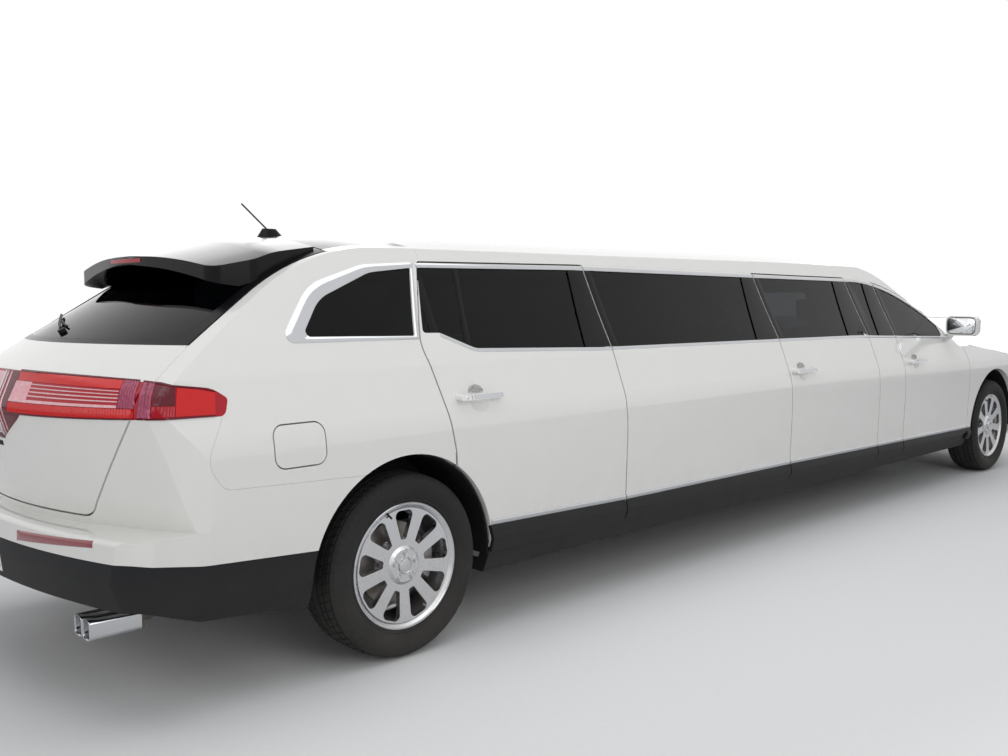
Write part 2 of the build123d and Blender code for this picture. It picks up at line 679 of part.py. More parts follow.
valance = (tail_low & side_prism(inset_rows(list(VALANCE_EDGE), FIXED_SEAM))) - valance_cut
bumper = tail_low - valance_zone
plate_space = block((TAIL - 100, PLATE_FACE), (-PLATE_HALF[0], 1), (PLATE_CENTRE - PLATE_HALF[1], PLATE_CENTRE + PLATE_HALF[1]))
plate_zone = block(
    (TAIL - 100, TAIL + 60),
    (-PLATE_HALF[0] - 14, 1),
    (PLATE_CENTRE - PLATE_HALF[1] - 14, PLATE_CENTRE + PLATE_HALF[1] + 14),
)
bumper = (bumper + (tail_low & plate_zone)) - plate_space
valance = valance - plate_zone
bumper = two_sided(bumper)
for y in (-PLATE_HOLES[0] / 2, PLATE_HOLES[0] / 2):
    for z in (PLATE_CENTRE - PLATE_HOLES[1] / 2, PLATE_CENTRE + PLATE_HOLES[1] / 2):
        bumper -= rod((TAIL - 50, y, z), (TAIL + 90, y, z), PLATE_HOLE_RADIUS)
save("rear_bumper", bumper)
save("rear_valance", two_sided(valance))

# Quarter panels with the quarter window and the fuel filler flap
quarter = (rest & block((TAIL - 300, REAR_DOOR_BACK + 60), (-FAR, 0), (0, FAR))) - bumper_zone
quarter = quarter - block((REAR_AXLE + 40, REAR_DOOR_BACK + 200), (-FAR, 0), (0, 800))
quarter_glass_zone = side_prism(QUARTER_WINDOW, -FAR, 0)
quarter_pane = pane & side_prism(inset_rows(QUARTER_WINDOW, SEAT_GAP), -FAR, 0)
quarter = quarter - quarter_glass_zone
FLAP_FRONT = REAR_AXLE - 382
flap_rows = [
    (FLAP_FRONT - 219, 828, 45),
    (FLAP_FRONT - 219, 987, 45),
    (FLAP_FRONT, 987, 45),
    (FLAP_FRONT, 828, 45),
]
FLAP_POCKET = 34.0
FLAP_GAP = 5.0
flap_pocket = side_prism(flap_rows, -FAR, 0) - body_solid(FLAP_POCKET)
flap_post = block((FLAP_FRONT - FLAP_GAP - 26, FLAP_FRONT - FLAP_GAP - 4), (-FAR, 0), (884, 931))
flap_post = flap_post & (SKIN_BACK - body_solid(FLAP_POCKET - SEAT_GAP))
save("fuel_flap", (skin & side_prism(inset_rows(flap_rows, FLAP_GAP), -FAR, 0)) + flap_post)
save("quarter_panels", mirror(quarter, about=Plane.XZ), quarter - flap_pocket)
panes = [side_glass(*opening) for opening in (BLANK, FILLER)]
left_panes = [side_glass(*opening) for opening in (BLANK, MIDDLE_DOOR, FILLER)]
save(
    "fixed_side_glass",
    *panes,
    quarter_pane,
    *[mirror(glass, about=Plane.XZ) for glass in left_panes + [quarter_pane]],
)

# Nose
LAMP_BACK = FRONT_AXLE + 540
headlamp_half = (
    (470, 800, 15),
    (470, 868, 60),
    (880, 960, 60),
    (1010, 975, 0),
    (1010, 880, 0),
    (860, 835, 60),
)
headlamp_rows = list(headlamp_half)
headlamp_zone = mirror(rear_prism(headlamp_rows, LAMP_BACK, NOSE + 100), about=Plane.XZ)
headlamp_fit = mirror(rear_prism(inset_rows(headlamp_rows, SEAT_GAP), LAMP_BACK + SEAT_GAP, NOSE + 100), about=Plane.XZ)
headlamp = rest & headlamp_fit
save("headlamps", *both_sides(headlamp))
rest -= headlamp_zone

GRILLE_TOP = 868.0
GRILLE_BOTTOM = 590.0
INTAKE_TOP = 450.0
INTAKE_BOTTOM = 330.0
grille_rows = mirrored_rows(((330, GRILLE_BOTTOM, 40), (430, GRILLE_TOP, 40)))
intake_rows = mirrored_rows(((560, INTAKE_BOTTOM, 40), (620, INTAKE_TOP, 40)))
nose_space = (NOSE - 400, NOSE + 100)
grille_zone = rear_prism(grille_rows, *nose_space)
intake_zone = rear_prism(intake_rows, *nose_space)
BUMPER_BACK = FRONT_AXLE + 440
front_bumper_rows = [
    (BUMPER_BACK, 100, 0),
    (BUMPER_BACK, 700, 60),
    (NOSE - 450, 800, 120),
    (NOSE - 260, 845, 0),
    (NOSE + 200, 845, 0),
    (NOSE + 200, 100, 0),
]
nose_zone = block((NOSE - 330, NOSE + 200), (-508, 508), (700, 1100))
front_bumper_zone = side_prism(front_bumper_rows)
front_under = plan_prism([
    (FRONT_AXLE, -HALF_WIDTH + 90, 0),
    (NOSE - 420, -HALF_WIDTH + 130, 120),
    (NOSE - 220, -HALF_WIDTH + 420, 120),
    (NOSE - 150, 10, 0),
    (FRONT_AXLE, 10, 0),
], 0, 420)
bumper_space = side_prism(inset_rows(front_bumper_rows, FIXED_SEAM))
front_bumper = ((rest & bumper_space) + (rest & nose_zone)) - front_under - grille_zone - intake_zone
save("front_bumper", two_sided(front_bumper))
rest -= front_bumper_zone + nose_zone

GRILLE_SLATS = 26
SLAT = 14.0
grille_shell = GLASS_BACK - INNER
grille_fit = rear_prism(inset_rows(grille_rows, SEAT_GAP), *nose_space)
intake_fit = rear_prism(inset_rows(intake_rows, SEAT_GAP), *nose_space)
grille = grille_shell & (grille_fit + intake_fit)
GRILLE_RIM = 18.0
slat_pitch = 2 * (430 - GRILLE_RIM) / GRILLE_SLATS
slat_window = rear_prism(inset_rows(grille_rows, GRILLE_RIM), *nose_space)
slots = [
    block(nose_space, (-430 + GRILLE_RIM + i * slat_pitch + SLAT / 2, -430 + GRILLE_RIM + (i + 1) * slat_pitch - SLAT / 2),
          (GRILLE_BOTTOM, GRILLE_TOP))
    for i in range(GRILLE_SLATS)
]
grille = grille - (Compound(slots) & slat_window)
INTAKE_BARS = 3
bar_pitch = (INTAKE_TOP - INTAKE_BOTTOM - GRILLE_RIM) / INTAKE_BARS
intake_window = rear_prism(inset_rows(intake_rows, GRILLE_RIM), *nose_space)
gaps = [
    block(nose_space, (-FAR, FAR), (INTAKE_BOTTOM + GRILLE_RIM + i * bar_pitch, INTAKE_BOTTOM + i * bar_pitch + bar_pitch))
    for i in range(INTAKE_BARS)
]
grille = grille - (Compound(gaps) & intake_window)
save("grille", grille)

# Front fenders, roof with its pillars, sills
FENDER_BACK = FRONT_AXLE - 760
fender = rest & block((FENDER_BACK, NOSE), (-FAR, 0), (BODY_BOTTOM + 80, FAR))
fender = fender - block((FENDER_BACK, FRONT_AXLE - 200), (-FAR, 0), (0, DOOR_BOTTOM))
save("front_fenders", *both_sides(fender))
roof_space = block((REAR_DOOR_BACK + 60 + FIXED_SEAM, FENDER_BACK - FIXED_SEAM), (-FAR, 0), (1000, FAR))
roof = rest & roof_space
save("roof_panel", two_sided(roof))
sill_space = block(
    (REAR_DOOR_BACK - 200, FRONT_DOOR_FRONT + 100),
    (-FAR, -HALF_WIDTH + 170),
    (BODY_BOTTOM, DOOR_BOTTOM - FIXED_SEAM),
)
sill = right_shell & sill_space
sill = sill - wheel_arch(REAR_AXLE, REAR_ARCH_RADIUS) - wheel_arch(FRONT_AXLE, FRONT_ARCH_RADIUS)
save("sills", *both_sides(sill))

# Frames behind the doors, the liftgate and the hood's rear edge, in straight members
FRAME_LENGTHS = (MIDDLE_DOOR_BACK - 770, (MIDDLE_DOOR_BACK + MIDDLE_DOOR_FRONT) / 2, 1309.5, FRONT_AXLE - 1310)
FRAME_HEIGHTS = (480.0, 1150.0, 1480.0)
GATE_HEIGHTS = (812.0, 1120.0)
GATE_CORNER = 560.0
GATE_MIDDLE = 200.0
GATE_SILL_LAP = 14.0
BELT_FOLD = (1040.2, 1041.9)
RAIL_INNER = 500.0


def members(frame, lengths, widths, heights):
    """Straight members of a frame, parted a hair at each place along, across and up."""
    parted = []
    for back, front in zip((TAIL, *lengths), (*lengths, NOSE)):
        for right, left in zip((-FAR, *widths), (*widths, FAR)):
            for low, high in zip((0, *heights), (*heights, FAR)):
                cell = block((back, front - SEAT_GAP), (right, left - SEAT_GAP), (low, high - SEAT_GAP))
                member = frame & cell
                if member:
                    parted += member.solids()
    return parted


jamb_sides = jamb_frame - block(WHOLE_LENGTH, (-HALF_WIDTH + 170, 0), (0, 420))
jamb_sides -= block(WHOLE_LENGTH, (-RAIL_INNER, 0), (900, FAR))
jamb_sides -= block((FRONT_AXLE - 840, FRONT_AXLE - 590), (-900, -680), (997, BELT_FRONT - 3))
gate_outer = rear_prism(inset_rows(tailgate_rows, -45), TAIL - 200, TAILGATE_TOP + 60)
gate_inner = rear_prism(inset_rows(tailgate_rows, JAMB_HALF), TAIL - 200, TAILGATE_TOP - 130)
gate_frame_limit = side_prism([
    (TAIL - 300, LOAD_FLOOR_TOP - GATE_SILL_LAP, 0),
    (TAIL + 400, LOAD_FLOOR_TOP - GATE_SILL_LAP, 0),
    (TAIL + 400, 1120, 0),
    (TAIL + 560, GATE_SPLIT - 40, 0),
    (TAILGATE_TOP + 60, 1380, 0),
    (TAILGATE_TOP + 60, 2200, 0),
    (TAIL - 300, 2200, 0),
])
gate_frame = (jamb & gate_outer & gate_frame_limit) - gate_inner
hood_frame = jamb & block((WINDSCREEN_BASE - 30, COWL + 120), (-850, 850), (900, FAR))
gate_middle = gate_frame & block(WHOLE_LENGTH, (-GATE_MIDDLE, GATE_MIDDLE), (0, FAR))
gate_side = gate_frame & block(WHOLE_LENGTH, (-FAR, -GATE_MIDDLE - SEAT_GAP), (0, FAR))
gate_side -= block(WHOLE_LENGTH, (-FAR, 0), BELT_FOLD)
side_members = members(jamb_sides, FRAME_LENGTHS, (), FRAME_HEIGHTS)
side_members += members(gate_side, (), (-GATE_CORNER,), GATE_HEIGHTS)
mirrored_members = [mirror(member, about=Plane.XZ) for member in side_members]
save("body_frames", *side_members, *mirrored_members, *gate_middle.solids(), hood_frame)

# Floor and firewall in one pressing, stepped up over the rear axle
CABIN_FIT = body_solid(JAMB_DEPTH + JAMB_THICKNESS + SEAT_GAP)
KICK = REAR_AXLE + 480
FLOOR_BOTTOM = BODY_BOTTOM + JAMB_DEPTH + JAMB_THICKNESS + SEAT_GAP
FIREWALL_TOP = 1010.0
floor_rows = [
    (FIREWALL + 30, FLOOR_BOTTOM, 0),
    (FIREWALL + 30, FIREWALL_TOP, 0),
    (FIREWALL, FIREWALL_TOP, 0),
    (FIREWALL, FLOOR_TOP, 0),
    (KICK + 30, FLOOR_TOP, 0),
    (KICK + 30, LOAD_FLOOR_TOP, 0),
    (TAIL + 60, LOAD_FLOOR_TOP, 0),
    (TAIL + 60, LOAD_FLOOR_TOP - FLOOR_THICKNESS, 0),
    (KICK, LOAD_FLOOR_TOP - FLOOR_THICKNESS, 0),
    (KICK, FLOOR_BOTTOM, 0),
]
liner_room = wheel_arch(REAR_AXLE, REAR_ARCH_RADIUS + SEAT_GAP)
liner_room = liner_room & block(WHOLE_LENGTH, (-FAR, -REAR_LINER_INNER + LINER_THICKNESS + SEAT_GAP), (0, FAR))
floor = side_prism(floor_rows) & CABIN_FIT
for side in both_sides(liner_room):
    floor -= side
save("floor_pan", floor)

# Chassis: two rails with crossmembers and outriggers
RAIL_Y = 430.0
RAIL_WIDTH = 80.0
RAIL_HEIGHT = 90.0
RAIL_TOP = FLOOR_BOTTOM - SEAT_GAP
REAR_RAIL_TOP = LOAD_FLOOR_TOP - FLOOR_THICKNESS - SEAT_GAP
FRONT_RAIL_TOP = 520.0
rail_rows = [
    (TAIL + 260, REAR_RAIL_TOP - RAIL_HEIGHT, 0),
    (TAIL + 260, REAR_RAIL_TOP, 0),
    (KICK - SEAT_GAP, REAR_RAIL_TOP, 0),
    (KICK - SEAT_GAP, RAIL_TOP, 0),
    (FIREWALL + 60, RAIL_TOP, 60),
    (FIREWALL + 210, FRONT_RAIL_TOP, 60),
    (NOSE - 260, FRONT_RAIL_TOP, 0),
    (NOSE - 260, FRONT_RAIL_TOP - RAIL_HEIGHT, 0),
    (FIREWALL + 270, FRONT_RAIL_TOP - RAIL_HEIGHT, 60),
    (FIREWALL + 120, RAIL_TOP - RAIL_HEIGHT, 60),
    (KICK - 60, RAIL_TOP - RAIL_HEIGHT, 60),
    (KICK - 230, REAR_RAIL_TOP - RAIL_HEIGHT, 60),
]
rail = side_prism(rail_rows, -RAIL_Y - RAIL_WIDTH / 2, -RAIL_Y + RAIL_WIDTH / 2)
chassis = rail + mirror(rail, about=Plane.XZ)
CROSSMEMBERS = 6
cross_pitch = (FIREWALL - KICK - 200) / (CROSSMEMBERS - 1)
for i in range(CROSSMEMBERS):
    x = KICK + 100 + i * cross_pitch
    chassis += block(
        (x - 35, x + 35),
        (-HALF_WIDTH + 170 + SEAT_GAP, HALF_WIDTH - 170 - SEAT_GAP),
        (RAIL_TOP - 70, RAIL_TOP),
    )
for x, top in ((TAIL + 290, REAR_RAIL_TOP), (NOSE - 300, FRONT_RAIL_TOP)):
    chassis += block((x - 30, x + 30), (-RAIL_Y, RAIL_Y), (top - RAIL_HEIGHT, top))
TOWER_BOTTOM = 786.0
TOWER_TOP = 806.0
for side in (-1, 1):
    chassis += block(
        (FRONT_AXLE - 70, FRONT_AXLE + 70),
        sorted((side * (RAIL_Y + RAIL_WIDTH / 2 - 20), side * (RAIL_Y + RAIL_WIDTH / 2))),
        (FRONT_RAIL_TOP - 40, TOWER_TOP),
    )
    chassis += block(
        (FRONT_AXLE - 70, FRONT_AXLE + 70),
        sorted((side * (RAIL_Y + RAIL_WIDTH / 2 - 20), side * 672)),
        (TOWER_BOTTOM, TOWER_TOP),
    )
save("chassis_frame", chassis)

# Wheel liners
LINER_LOW = 335.0
LINER_WALL_LOW = 470.0


def wheel_liner(axle, radius, inner):
    """Half-round liner with an inner wall; y runs to the back of the fender lip."""
    outside = inset_rows(arch_rows(axle, radius, LINER_LOW), SEAT_GAP)
    inside = inset_rows(arch_rows(axle, radius, LINER_LOW), SEAT_GAP + LINER_THICKNESS)
    inside[0] = (inside[0][0], LINER_LOW - 40, 0)
    inside[3] = (inside[3][0], LINER_LOW - 40, 0)
    tunnel = side_prism(outside, -HALF_WIDTH + 40, -inner) - side_prism(inside, -FAR, 0)
    wall = side_prism(outside, -inner, -inner + LINER_THICKNESS)
    wall -= block(WHOLE_LENGTH, (-FAR, 0), (0, LINER_WALL_LOW))
    return tunnel + wall


front_liner = wheel_liner(FRONT_AXLE, FRONT_ARCH_RADIUS, FRONT_LINER_INNER)
front_liner -= block(
    (FRONT_AXLE - 70 - SEAT_GAP, FRONT_AXLE + 70 + SEAT_GAP),
    (-FRONT_LINER_INNER - 1, 0),
    (TOWER_BOTTOM - 40, TOWER_TOP + SEAT_GAP),
)
rear_liner = wheel_liner(REAR_AXLE, REAR_ARCH_RADIUS, REAR_LINER_INNER)
save("wheel_liners", *both_sides(front_liner), *both_sides(rear_liner))

# Wheels: revolved about the hub line, then set at the four corners
DISC_FACE = 92.0
HUB_RADIUS = 78.0
SPINDLE_RADIUS = 32.0
BRAKE_RADIUS = 165.0
RIM_HALF = 100.0
wheel_plane = Plane(origin=(0, 0, 0), x_dir=(1, 0, 0), z_dir=(0, 0, 1))


def turned(rows):
    """Ring turned about the wheel's own axis, from an outline of radius, outboard offset."""
    return revolve(rounded_face(rows, wheel_plane), Axis.Y, 360)


barrel_rows = [
    (RIM_RADIUS, -RIM_HALF, 0),
    (RIM_RADIUS, -RIM_HALF + 8, 0),
    (RIM_RADIUS - 14, -RIM_HALF + 12, 0),
    (RIM_RADIUS - 40, -20, 40),
    (RIM_RADIUS - 14, RIM_HALF - 12, 0),
    (RIM_RADIUS, RIM_HALF - 8, 0),
    (RIM_RADIUS, RIM_HALF, 0),
    (RIM_RADIUS - 10, RIM_HALF, 0),
    (RIM_RADIUS - 24, RIM_HALF - 14, 0),
    (RIM_RADIUS - 50, -20, 40),
    (RIM_RADIUS - 22, -RIM_HALF, 0),
]
disc_rows = [
    (SPINDLE_RADIUS + SEAT_GAP, 20, 0),
    (SPINDLE_RADIUS + SEAT_GAP, DISC_FACE - 40, 0),
    (0, DISC_FACE - 40, 0),
    (0, DISC_FACE + 2, 0),
    (HUB_RADIUS - 12, DISC_FACE + 2, 0),
    (HUB_RADIUS, DISC_FACE - 8, 0),
    (RIM_RADIUS - 24, DISC_FACE, 0),
    (RIM_RADIUS - 24, DISC_FACE - 20, 0),
    (HUB_RADIUS + 10, DISC_FACE - 34, 20),
    (HUB_RADIUS - 6, 20, 0),
]
brake_rows = [
    (SPINDLE_RADIUS + SEAT_GAP, -10, 0),
    (SPINDLE_RADIUS + SEAT_GAP, 21, 0),
    (HUB_RADIUS - 6, 21, 0),
    (HUB_RADIUS - 6, 12, 0),
    (BRAKE_RADIUS, 12, 0),
    (BRAKE_RADIUS, -10, 0),
]
SPOKE_WINDOW = [(104, -13, 8), (222, -50, 22), (222, 50, 22), (104, 13, 8)]
window_cutter = extrude(
    rounded_face(SPOKE_WINDOW, Plane(origin=(0, 40, 0), x_dir=(0, 0, 1), z_dir=(0, 1, 0))), 80, dir=(0, 1, 0)
)
wheel_disc = turned(disc_rows)
for i in range(SPOKES):
    wheel_disc -= Rot(0, i * 360 / SPOKES, 0) * window_cutter
rim = wheel_disc + turned(barrel_rows) + turned(brake_rows)

tyre_half = TYRE_WIDTH / 2
SHOULDER = TYRE_RADIUS - 16
tyre_outer = [
    (RIM_RADIUS + SEAT_GAP, -RIM_HALF + 6, 0),
    (RIM_RADIUS + 4, -RIM_HALF - 2, 0),
    (RIM_RADIUS + 48, -tyre_half, 70),
    (SHOULDER, -tyre_half + 8, 30),
    (TYRE_RADIUS, -tyre_half + 34, 30),
    (TYRE_RADIUS, tyre_half - 34, 30),
    (SHOULDER, tyre_half - 8, 30),
    (RIM_RADIUS + 48, tyre_half, 70),
    (RIM_RADIUS + 4, RIM_HALF + 2, 0),
    (RIM_RADIUS + SEAT_GAP, RIM_HALF - 6, 0),
    (RIM_RADIUS + SEAT_GAP, RIM_HALF - 24, 0),
    (SHOULDER - 4, tyre_half - 24, 30),
    (SHOULDER - 4, -tyre_half + 24, 30),
    (RIM_RADIUS + SEAT_GAP, -RIM_HALF + 24, 0),
]
tyre = turned(tyre_outer)

for end, axle in (("front", FRONT_AXLE), ("rear", REAR_AXLE)):
    for side, sign in (("left", 1), ("right", -1)):
        place = Pos(axle, sign * TRACK / 2, TYRE_RADIUS) * Rot(0, 0, 0 if sign > 0 else 180)
        save(f"rim_{end}_{side}", place * rim)
        save(f"tyre_{end}_{side}", place * tyre)

# Front suspension: knuckles turn on a leaning line through the ball joint and the strut top
BALL_JOINT = (745.0, 292.0)
STRUT_TOP = (607.1, TOWER_BOTTOM - 7.7)
HUB_INNER = TRACK / 2 - 12


def knuckle(sign):
    """Hub carrier with its spindle, strut and steering arm."""
    foot = (FRONT_AXLE, sign * BALL_JOINT[0], BALL_JOINT[1])
    head = (FRONT_AXLE, sign * STRUT_TOP[0], STRUT_TOP[1])
    lean = Vector(*head) - Vector(*foot)
    near = Vector(*foot) + lean * 0.62
    body = rod((FRONT_AXLE, sign * 690, TYRE_RADIUS), (FRONT_AXLE, sign * HUB_INNER, TYRE_RADIUS), 58)
    body += rod((FRONT_AXLE, sign * 700, TYRE_RADIUS), (FRONT_AXLE, sign * (TRACK / 2 + 48), TYRE_RADIUS), SPINDLE_RADIUS)
    body += rod(foot, tuple(near), 22)
    body += rod(tuple(Vector(*foot) + lean * 0.36), head, 27)
    body += rod((FRONT_AXLE, sign * 700, TYRE_RADIUS), (FRONT_AXLE - 130, sign * 680, TYRE_RADIUS - 20), 15)
    return body


for side, sign in (("left", 1), ("right", -1)):
    save(f"knuckle_{side}", knuckle(sign))

ARM_TOP = BALL_JOINT[1] - 26
arm_rows = [
    (FRONT_AXLE - 150, -RAIL_Y - 30, 0),
    (FRONT_AXLE - 26, -BALL_JOINT[0] - 26, 24),
    (FRONT_AXLE + 26, -BALL_JOINT[0] - 26, 24),
    (FRONT_AXLE + 150, -RAIL_Y - 30, 0),
]
arm = plan_prism(arm_rows, ARM_TOP - 26, ARM_TOP)
post = block(
    (FRONT_AXLE - 160, FRONT_AXLE + 160),
    (-RAIL_Y - 40, -RAIL_Y + 40),
    (ARM_TOP - 30, FRONT_RAIL_TOP - RAIL_HEIGHT - SEAT_GAP),
) - block((FRONT_AXLE - 50, FRONT_AXLE + 50), (-FAR, 0), (ARM_TOP + 30, FAR))
subframe = two_sided(arm + post) + block((FRONT_AXLE - 130, FRONT_AXLE + 130), (-RAIL_Y, RAIL_Y), (ARM_TOP - 30, ARM_TOP + 10))
save("front_subframe", subframe)

# Rear axle with its hub carriers, springs and spindles
beam = block((REAR_AXLE - 50, REAR_AXLE + 50), (-600, 600), (TYRE_RADIUS - 45, TYRE_RADIUS + 35))
for sign in (-1, 1):
    beam += rod((REAR_AXLE, sign * 590, TYRE_RADIUS), (REAR_AXLE, sign * HUB_INNER, TYRE_RADIUS), 58)
    beam += rod((REAR_AXLE, sign * 600, TYRE_RADIUS), (REAR_AXLE, sign * (TRACK / 2 + 48), TYRE_RADIUS), SPINDLE_RADIUS)
    beam += rod(
        (REAR_AXLE, sign * RAIL_Y, TYRE_RADIUS), (REAR_AXLE, sign * RAIL_Y, REAR_RAIL_TOP - RAIL_HEIGHT - SEAT_GAP), 38
    )
save("rear_axle", beam)

# Engine, tank and exhaust
ENGINE_TOP = 880.0
engine = block((FRONT_AXLE - 250, FRONT_AXLE + 420), (-370, 370), (400, ENGINE_TOP))
engine += block((FRONT_AXLE + 100, FRONT_AXLE + 180), (-RAIL_Y, RAIL_Y), (FRONT_RAIL_TOP + SEAT_GAP, FRONT_RAIL_TOP + 40))
save("engine_block", engine)
tank = block((KICK + 150, KICK + 800), (-370, 200), (268, RAIL_TOP))
tank = fillet(tank.edges().filter_by(Axis.Z), 60)
for i in range(CROSSMEMBERS):
    x = KICK + 100 + i * cross_pitch
    tank -= block((x - 36, x + 36), (-FAR, FAR), (RAIL_TOP - 71, RAIL_TOP + 1))
save("fuel_tank", tank)


def pipe(points, radius):
    """Round tube outline through points, with balls at the bends."""
    tube = rod(points[0], points[1], radius)
    for start, end in zip(points[1:], points[2:]):
        tube += rod(start, end, radius) + Pos(*start) * Sphere(radius)
    return tube


PIPE_RADIUS = 28.0
PIPE_Y = 300.0
PIPE_LOW = RAIL_TOP - 70 - PIPE_RADIUS - SEAT_GAP
PIPE_HIGH = 470.0
MUFFLER_BACK = TAIL + 330
MUFFLER_FRONT = TAIL + 650
TIP_Z = 318.0
TIP_HALF = (30.0, 36.0)
TIP_YS = (578.0, 646.0)
TIP_WALL = 4.0
TIP_BACK = TAIL + 122
TIP_LENGTH = 190.0
exhaust = pipe(
    [
        (FRONT_AXLE - 300, PIPE_Y, 430),
        (FRONT_AXLE - 420, PIPE_Y, 430),
        (FIREWALL - 20, PIPE_Y, PIPE_LOW),
        (KICK - 20, PIPE_Y, PIPE_LOW),
        (KICK - 230, PIPE_Y, PIPE_HIGH),
        (MUFFLER_FRONT - 20, PIPE_Y, PIPE_HIGH - 20),
    ],
    PIPE_RADIUS,
)
exhaust += rod((FRONT_AXLE - 250 - SEAT_GAP, PIPE_Y, 430), (FRONT_AXLE - 300, PIPE_Y, 430), PIPE_RADIUS)
muffler_half = RAIL_Y - RAIL_WIDTH / 2 - SEAT_GAP
muffler = block((MUFFLER_BACK, MUFFLER_FRONT), (-muffler_half, muffler_half), (360, REAR_RAIL_TOP - RAIL_HEIGHT + 40))
exhaust += fillet(muffler.edges().filter_by(Axis.X), 30)
for side in (-1, 1):
    exhaust += pipe(
        [
            (MUFFLER_BACK + 60, side * 300, 420),
            (MUFFLER_BACK - 6, side * 300, 420),
            (TIP_BACK + TIP_LENGTH + 40, side * sum(TIP_YS) / 2, TIP_Z),
            (TIP_BACK + TIP_LENGTH, side * sum(TIP_YS) / 2, TIP_Z),
        ],
        24,
    )
    for tip_y in TIP_YS:
        outside = Rectangle(2 * TIP_HALF[0], 2 * TIP_HALF[1])
        outside = fillet(outside.vertices(), 16)
        inside = offset(outside, -TIP_WALL)
        plane = Plane(origin=(TIP_BACK, side * tip_y, TIP_Z), x_dir=(0, 1, 0), z_dir=(1, 0, 0))
        exhaust += extrude(plane * outside, TIP_LENGTH)
        exhaust -= extrude(plane * inside, TIP_LENGTH - 10)
    exhaust += block(
        (TIP_BACK + TIP_LENGTH - 12, TIP_BACK + TIP_LENGTH),
        sorted((side * TIP_YS[0], side * TIP_YS[1])),
        (TIP_Z - 20, TIP_Z + 20),
    )
save("exhaust", exhaust)

# Cabin


def rounded_block(x_range, y_range, z_range, radius):
    """Box with all its edges rounded, for cushions and cabinets."""
    body = block(x_range, y_range, z_range)
    return fillet(body.edges(), radius)


SEAT_FLOOR = FLOOR_TOP + SEAT_GAP
DASH_TOP = 1075.0
dash_rows = [
    (FIREWALL - SEAT_GAP, 690, 0),
    (FIREWALL - SEAT_GAP, 1000, 0),
    (FIREWALL - 260, DASH_TOP, 60),
    (FIREWALL - 500, 1020, 60),
    (FIREWALL - 480, 850, 60),
    (FIREWALL - 330, 690, 80),
]
dashboard = side_prism(dash_rows) & CABIN_FIT
dashboard += rounded_block((FIREWALL - 1180, FIREWALL - 400), (-125, 125), (SEAT_FLOOR, 640), 30)
dashboard += block((FIREWALL - 440, FIREWALL - 300), (-110, 110), (SEAT_FLOOR, 800))

# Steering wheel on a column that leans towards the driver
DRIVER_Y = 410.0
WHEEL_CENTRE = (FIREWALL - 610, DRIVER_Y, 985.0)
WHEEL_TILT = 25.0
WHEEL_RIM = 185.0
WHEEL_GRIP = 15.0
COLUMN_START = 95.0
tilt = math.radians(WHEEL_TILT)
wheel_axis = Vector(-math.cos(tilt), 0, math.sin(tilt))
steer_plane = Plane(origin=WHEEL_CENTRE, x_dir=(0, 1, 0), z_dir=wheel_axis)
steering_wheel = steer_plane * Torus(WHEEL_RIM, WHEEL_GRIP)
steering_wheel += steer_plane * Pos(0, 0, -20) * Cylinder(62, 46)
for angle in (0, 180, 270):
    spoke = Rot(0, 0, angle) * Pos(WHEEL_RIM / 2, 0, -12) * Box(WHEEL_RIM - 4, 34, 14)
    steering_wheel += steer_plane * spoke
steering_wheel += steer_plane * Pos(0, 0, -COLUMN_START / 2 - 10) * Cylinder(24, COLUMN_START - 20)
save("steering_wheel", steering_wheel)
column_top = Vector(*WHEEL_CENTRE) - wheel_axis * (COLUMN_START + SEAT_GAP)
column_foot = Vector(*WHEEL_CENTRE) - wheel_axis * 260
dashboard += rod(tuple(column_top), tuple(column_foot), 36)
save("dashboard", dashboard)

# Two front seats
SEAT_X = FRONT_AXLE - 1960
SEAT_LEAN = 10.0
front_seats = []
for middle in (-DRIVER_Y, DRIVER_Y):
    across = (middle - 250, middle + 250)
    seat = rounded_block((SEAT_X + 60, SEAT_X + 600), across, (560, 710), 45)
    seat += block((SEAT_X + 140, SEAT_X + 520), (middle - 190, middle + 190), (SEAT_FLOOR, 600))
    lean = Pos(SEAT_X + 110, 0, 600) * Rot(0, -SEAT_LEAN, 0)
    seat += lean * rounded_block((-65, 65), across, (0, 640), 45)
    seat += lean * rounded_block((-42, 42), (middle - 135, middle + 135), (600, 830), 35)
    front_seats.append(seat)
save("front_seats", *front_seats)

# Partition behind the front seats, with its window
PARTITION_X = MIDDLE_DOOR_FRONT - 62
PARTITION_THICKNESS = 36.0
partition = CABIN_FIT & block((PARTITION_X, PARTITION_X + PARTITION_THICKNESS), (-FAR, FAR), (SEAT_FLOOR, FAR))
partition -= rear_prism(mirrored_rows(((470, 1130, 40), (430, 1450, 40))), PARTITION_X - 10, PARTITION_X + 50)
save("partition", partition)

# Lounge: rear bench, left side bench and the bench against the partition
CUSHION_TOP = 800.0
BENCH_X = KICK + 30 + SEAT_GAP
LOUNGE = (
    ((BENCH_X, BENCH_X + 600), (-780, 780), (SEAT_FLOOR, CUSHION_TOP)),
    ((BENCH_X - 165, BENCH_X + 60), (-590, 590), (LOAD_FLOOR_TOP + SEAT_GAP, 1280)),
    ((REAR_DOOR_FRONT + 120, PARTITION_X - 640), (300, 780), (SEAT_FLOOR, CUSHION_TOP)),
    ((REAR_DOOR_FRONT + 140, PARTITION_X - 660), (670, 780), (CUSHION_TOP - 120, 1110)),
    ((PARTITION_X - 600, PARTITION_X - SEAT_GAP), (-250, 780), (SEAT_FLOOR, CUSHION_TOP)),
    ((PARTITION_X - 170, PARTITION_X - SEAT_GAP), (-250, 690), (CUSHION_TOP - 120, 1110)),
)
cushions = [rounded_block(*row, 45) for row in LOUNGE]
save("lounge_seats", *[cushions[i] + cushions[i + 1] for i in (0, 2, 4)])

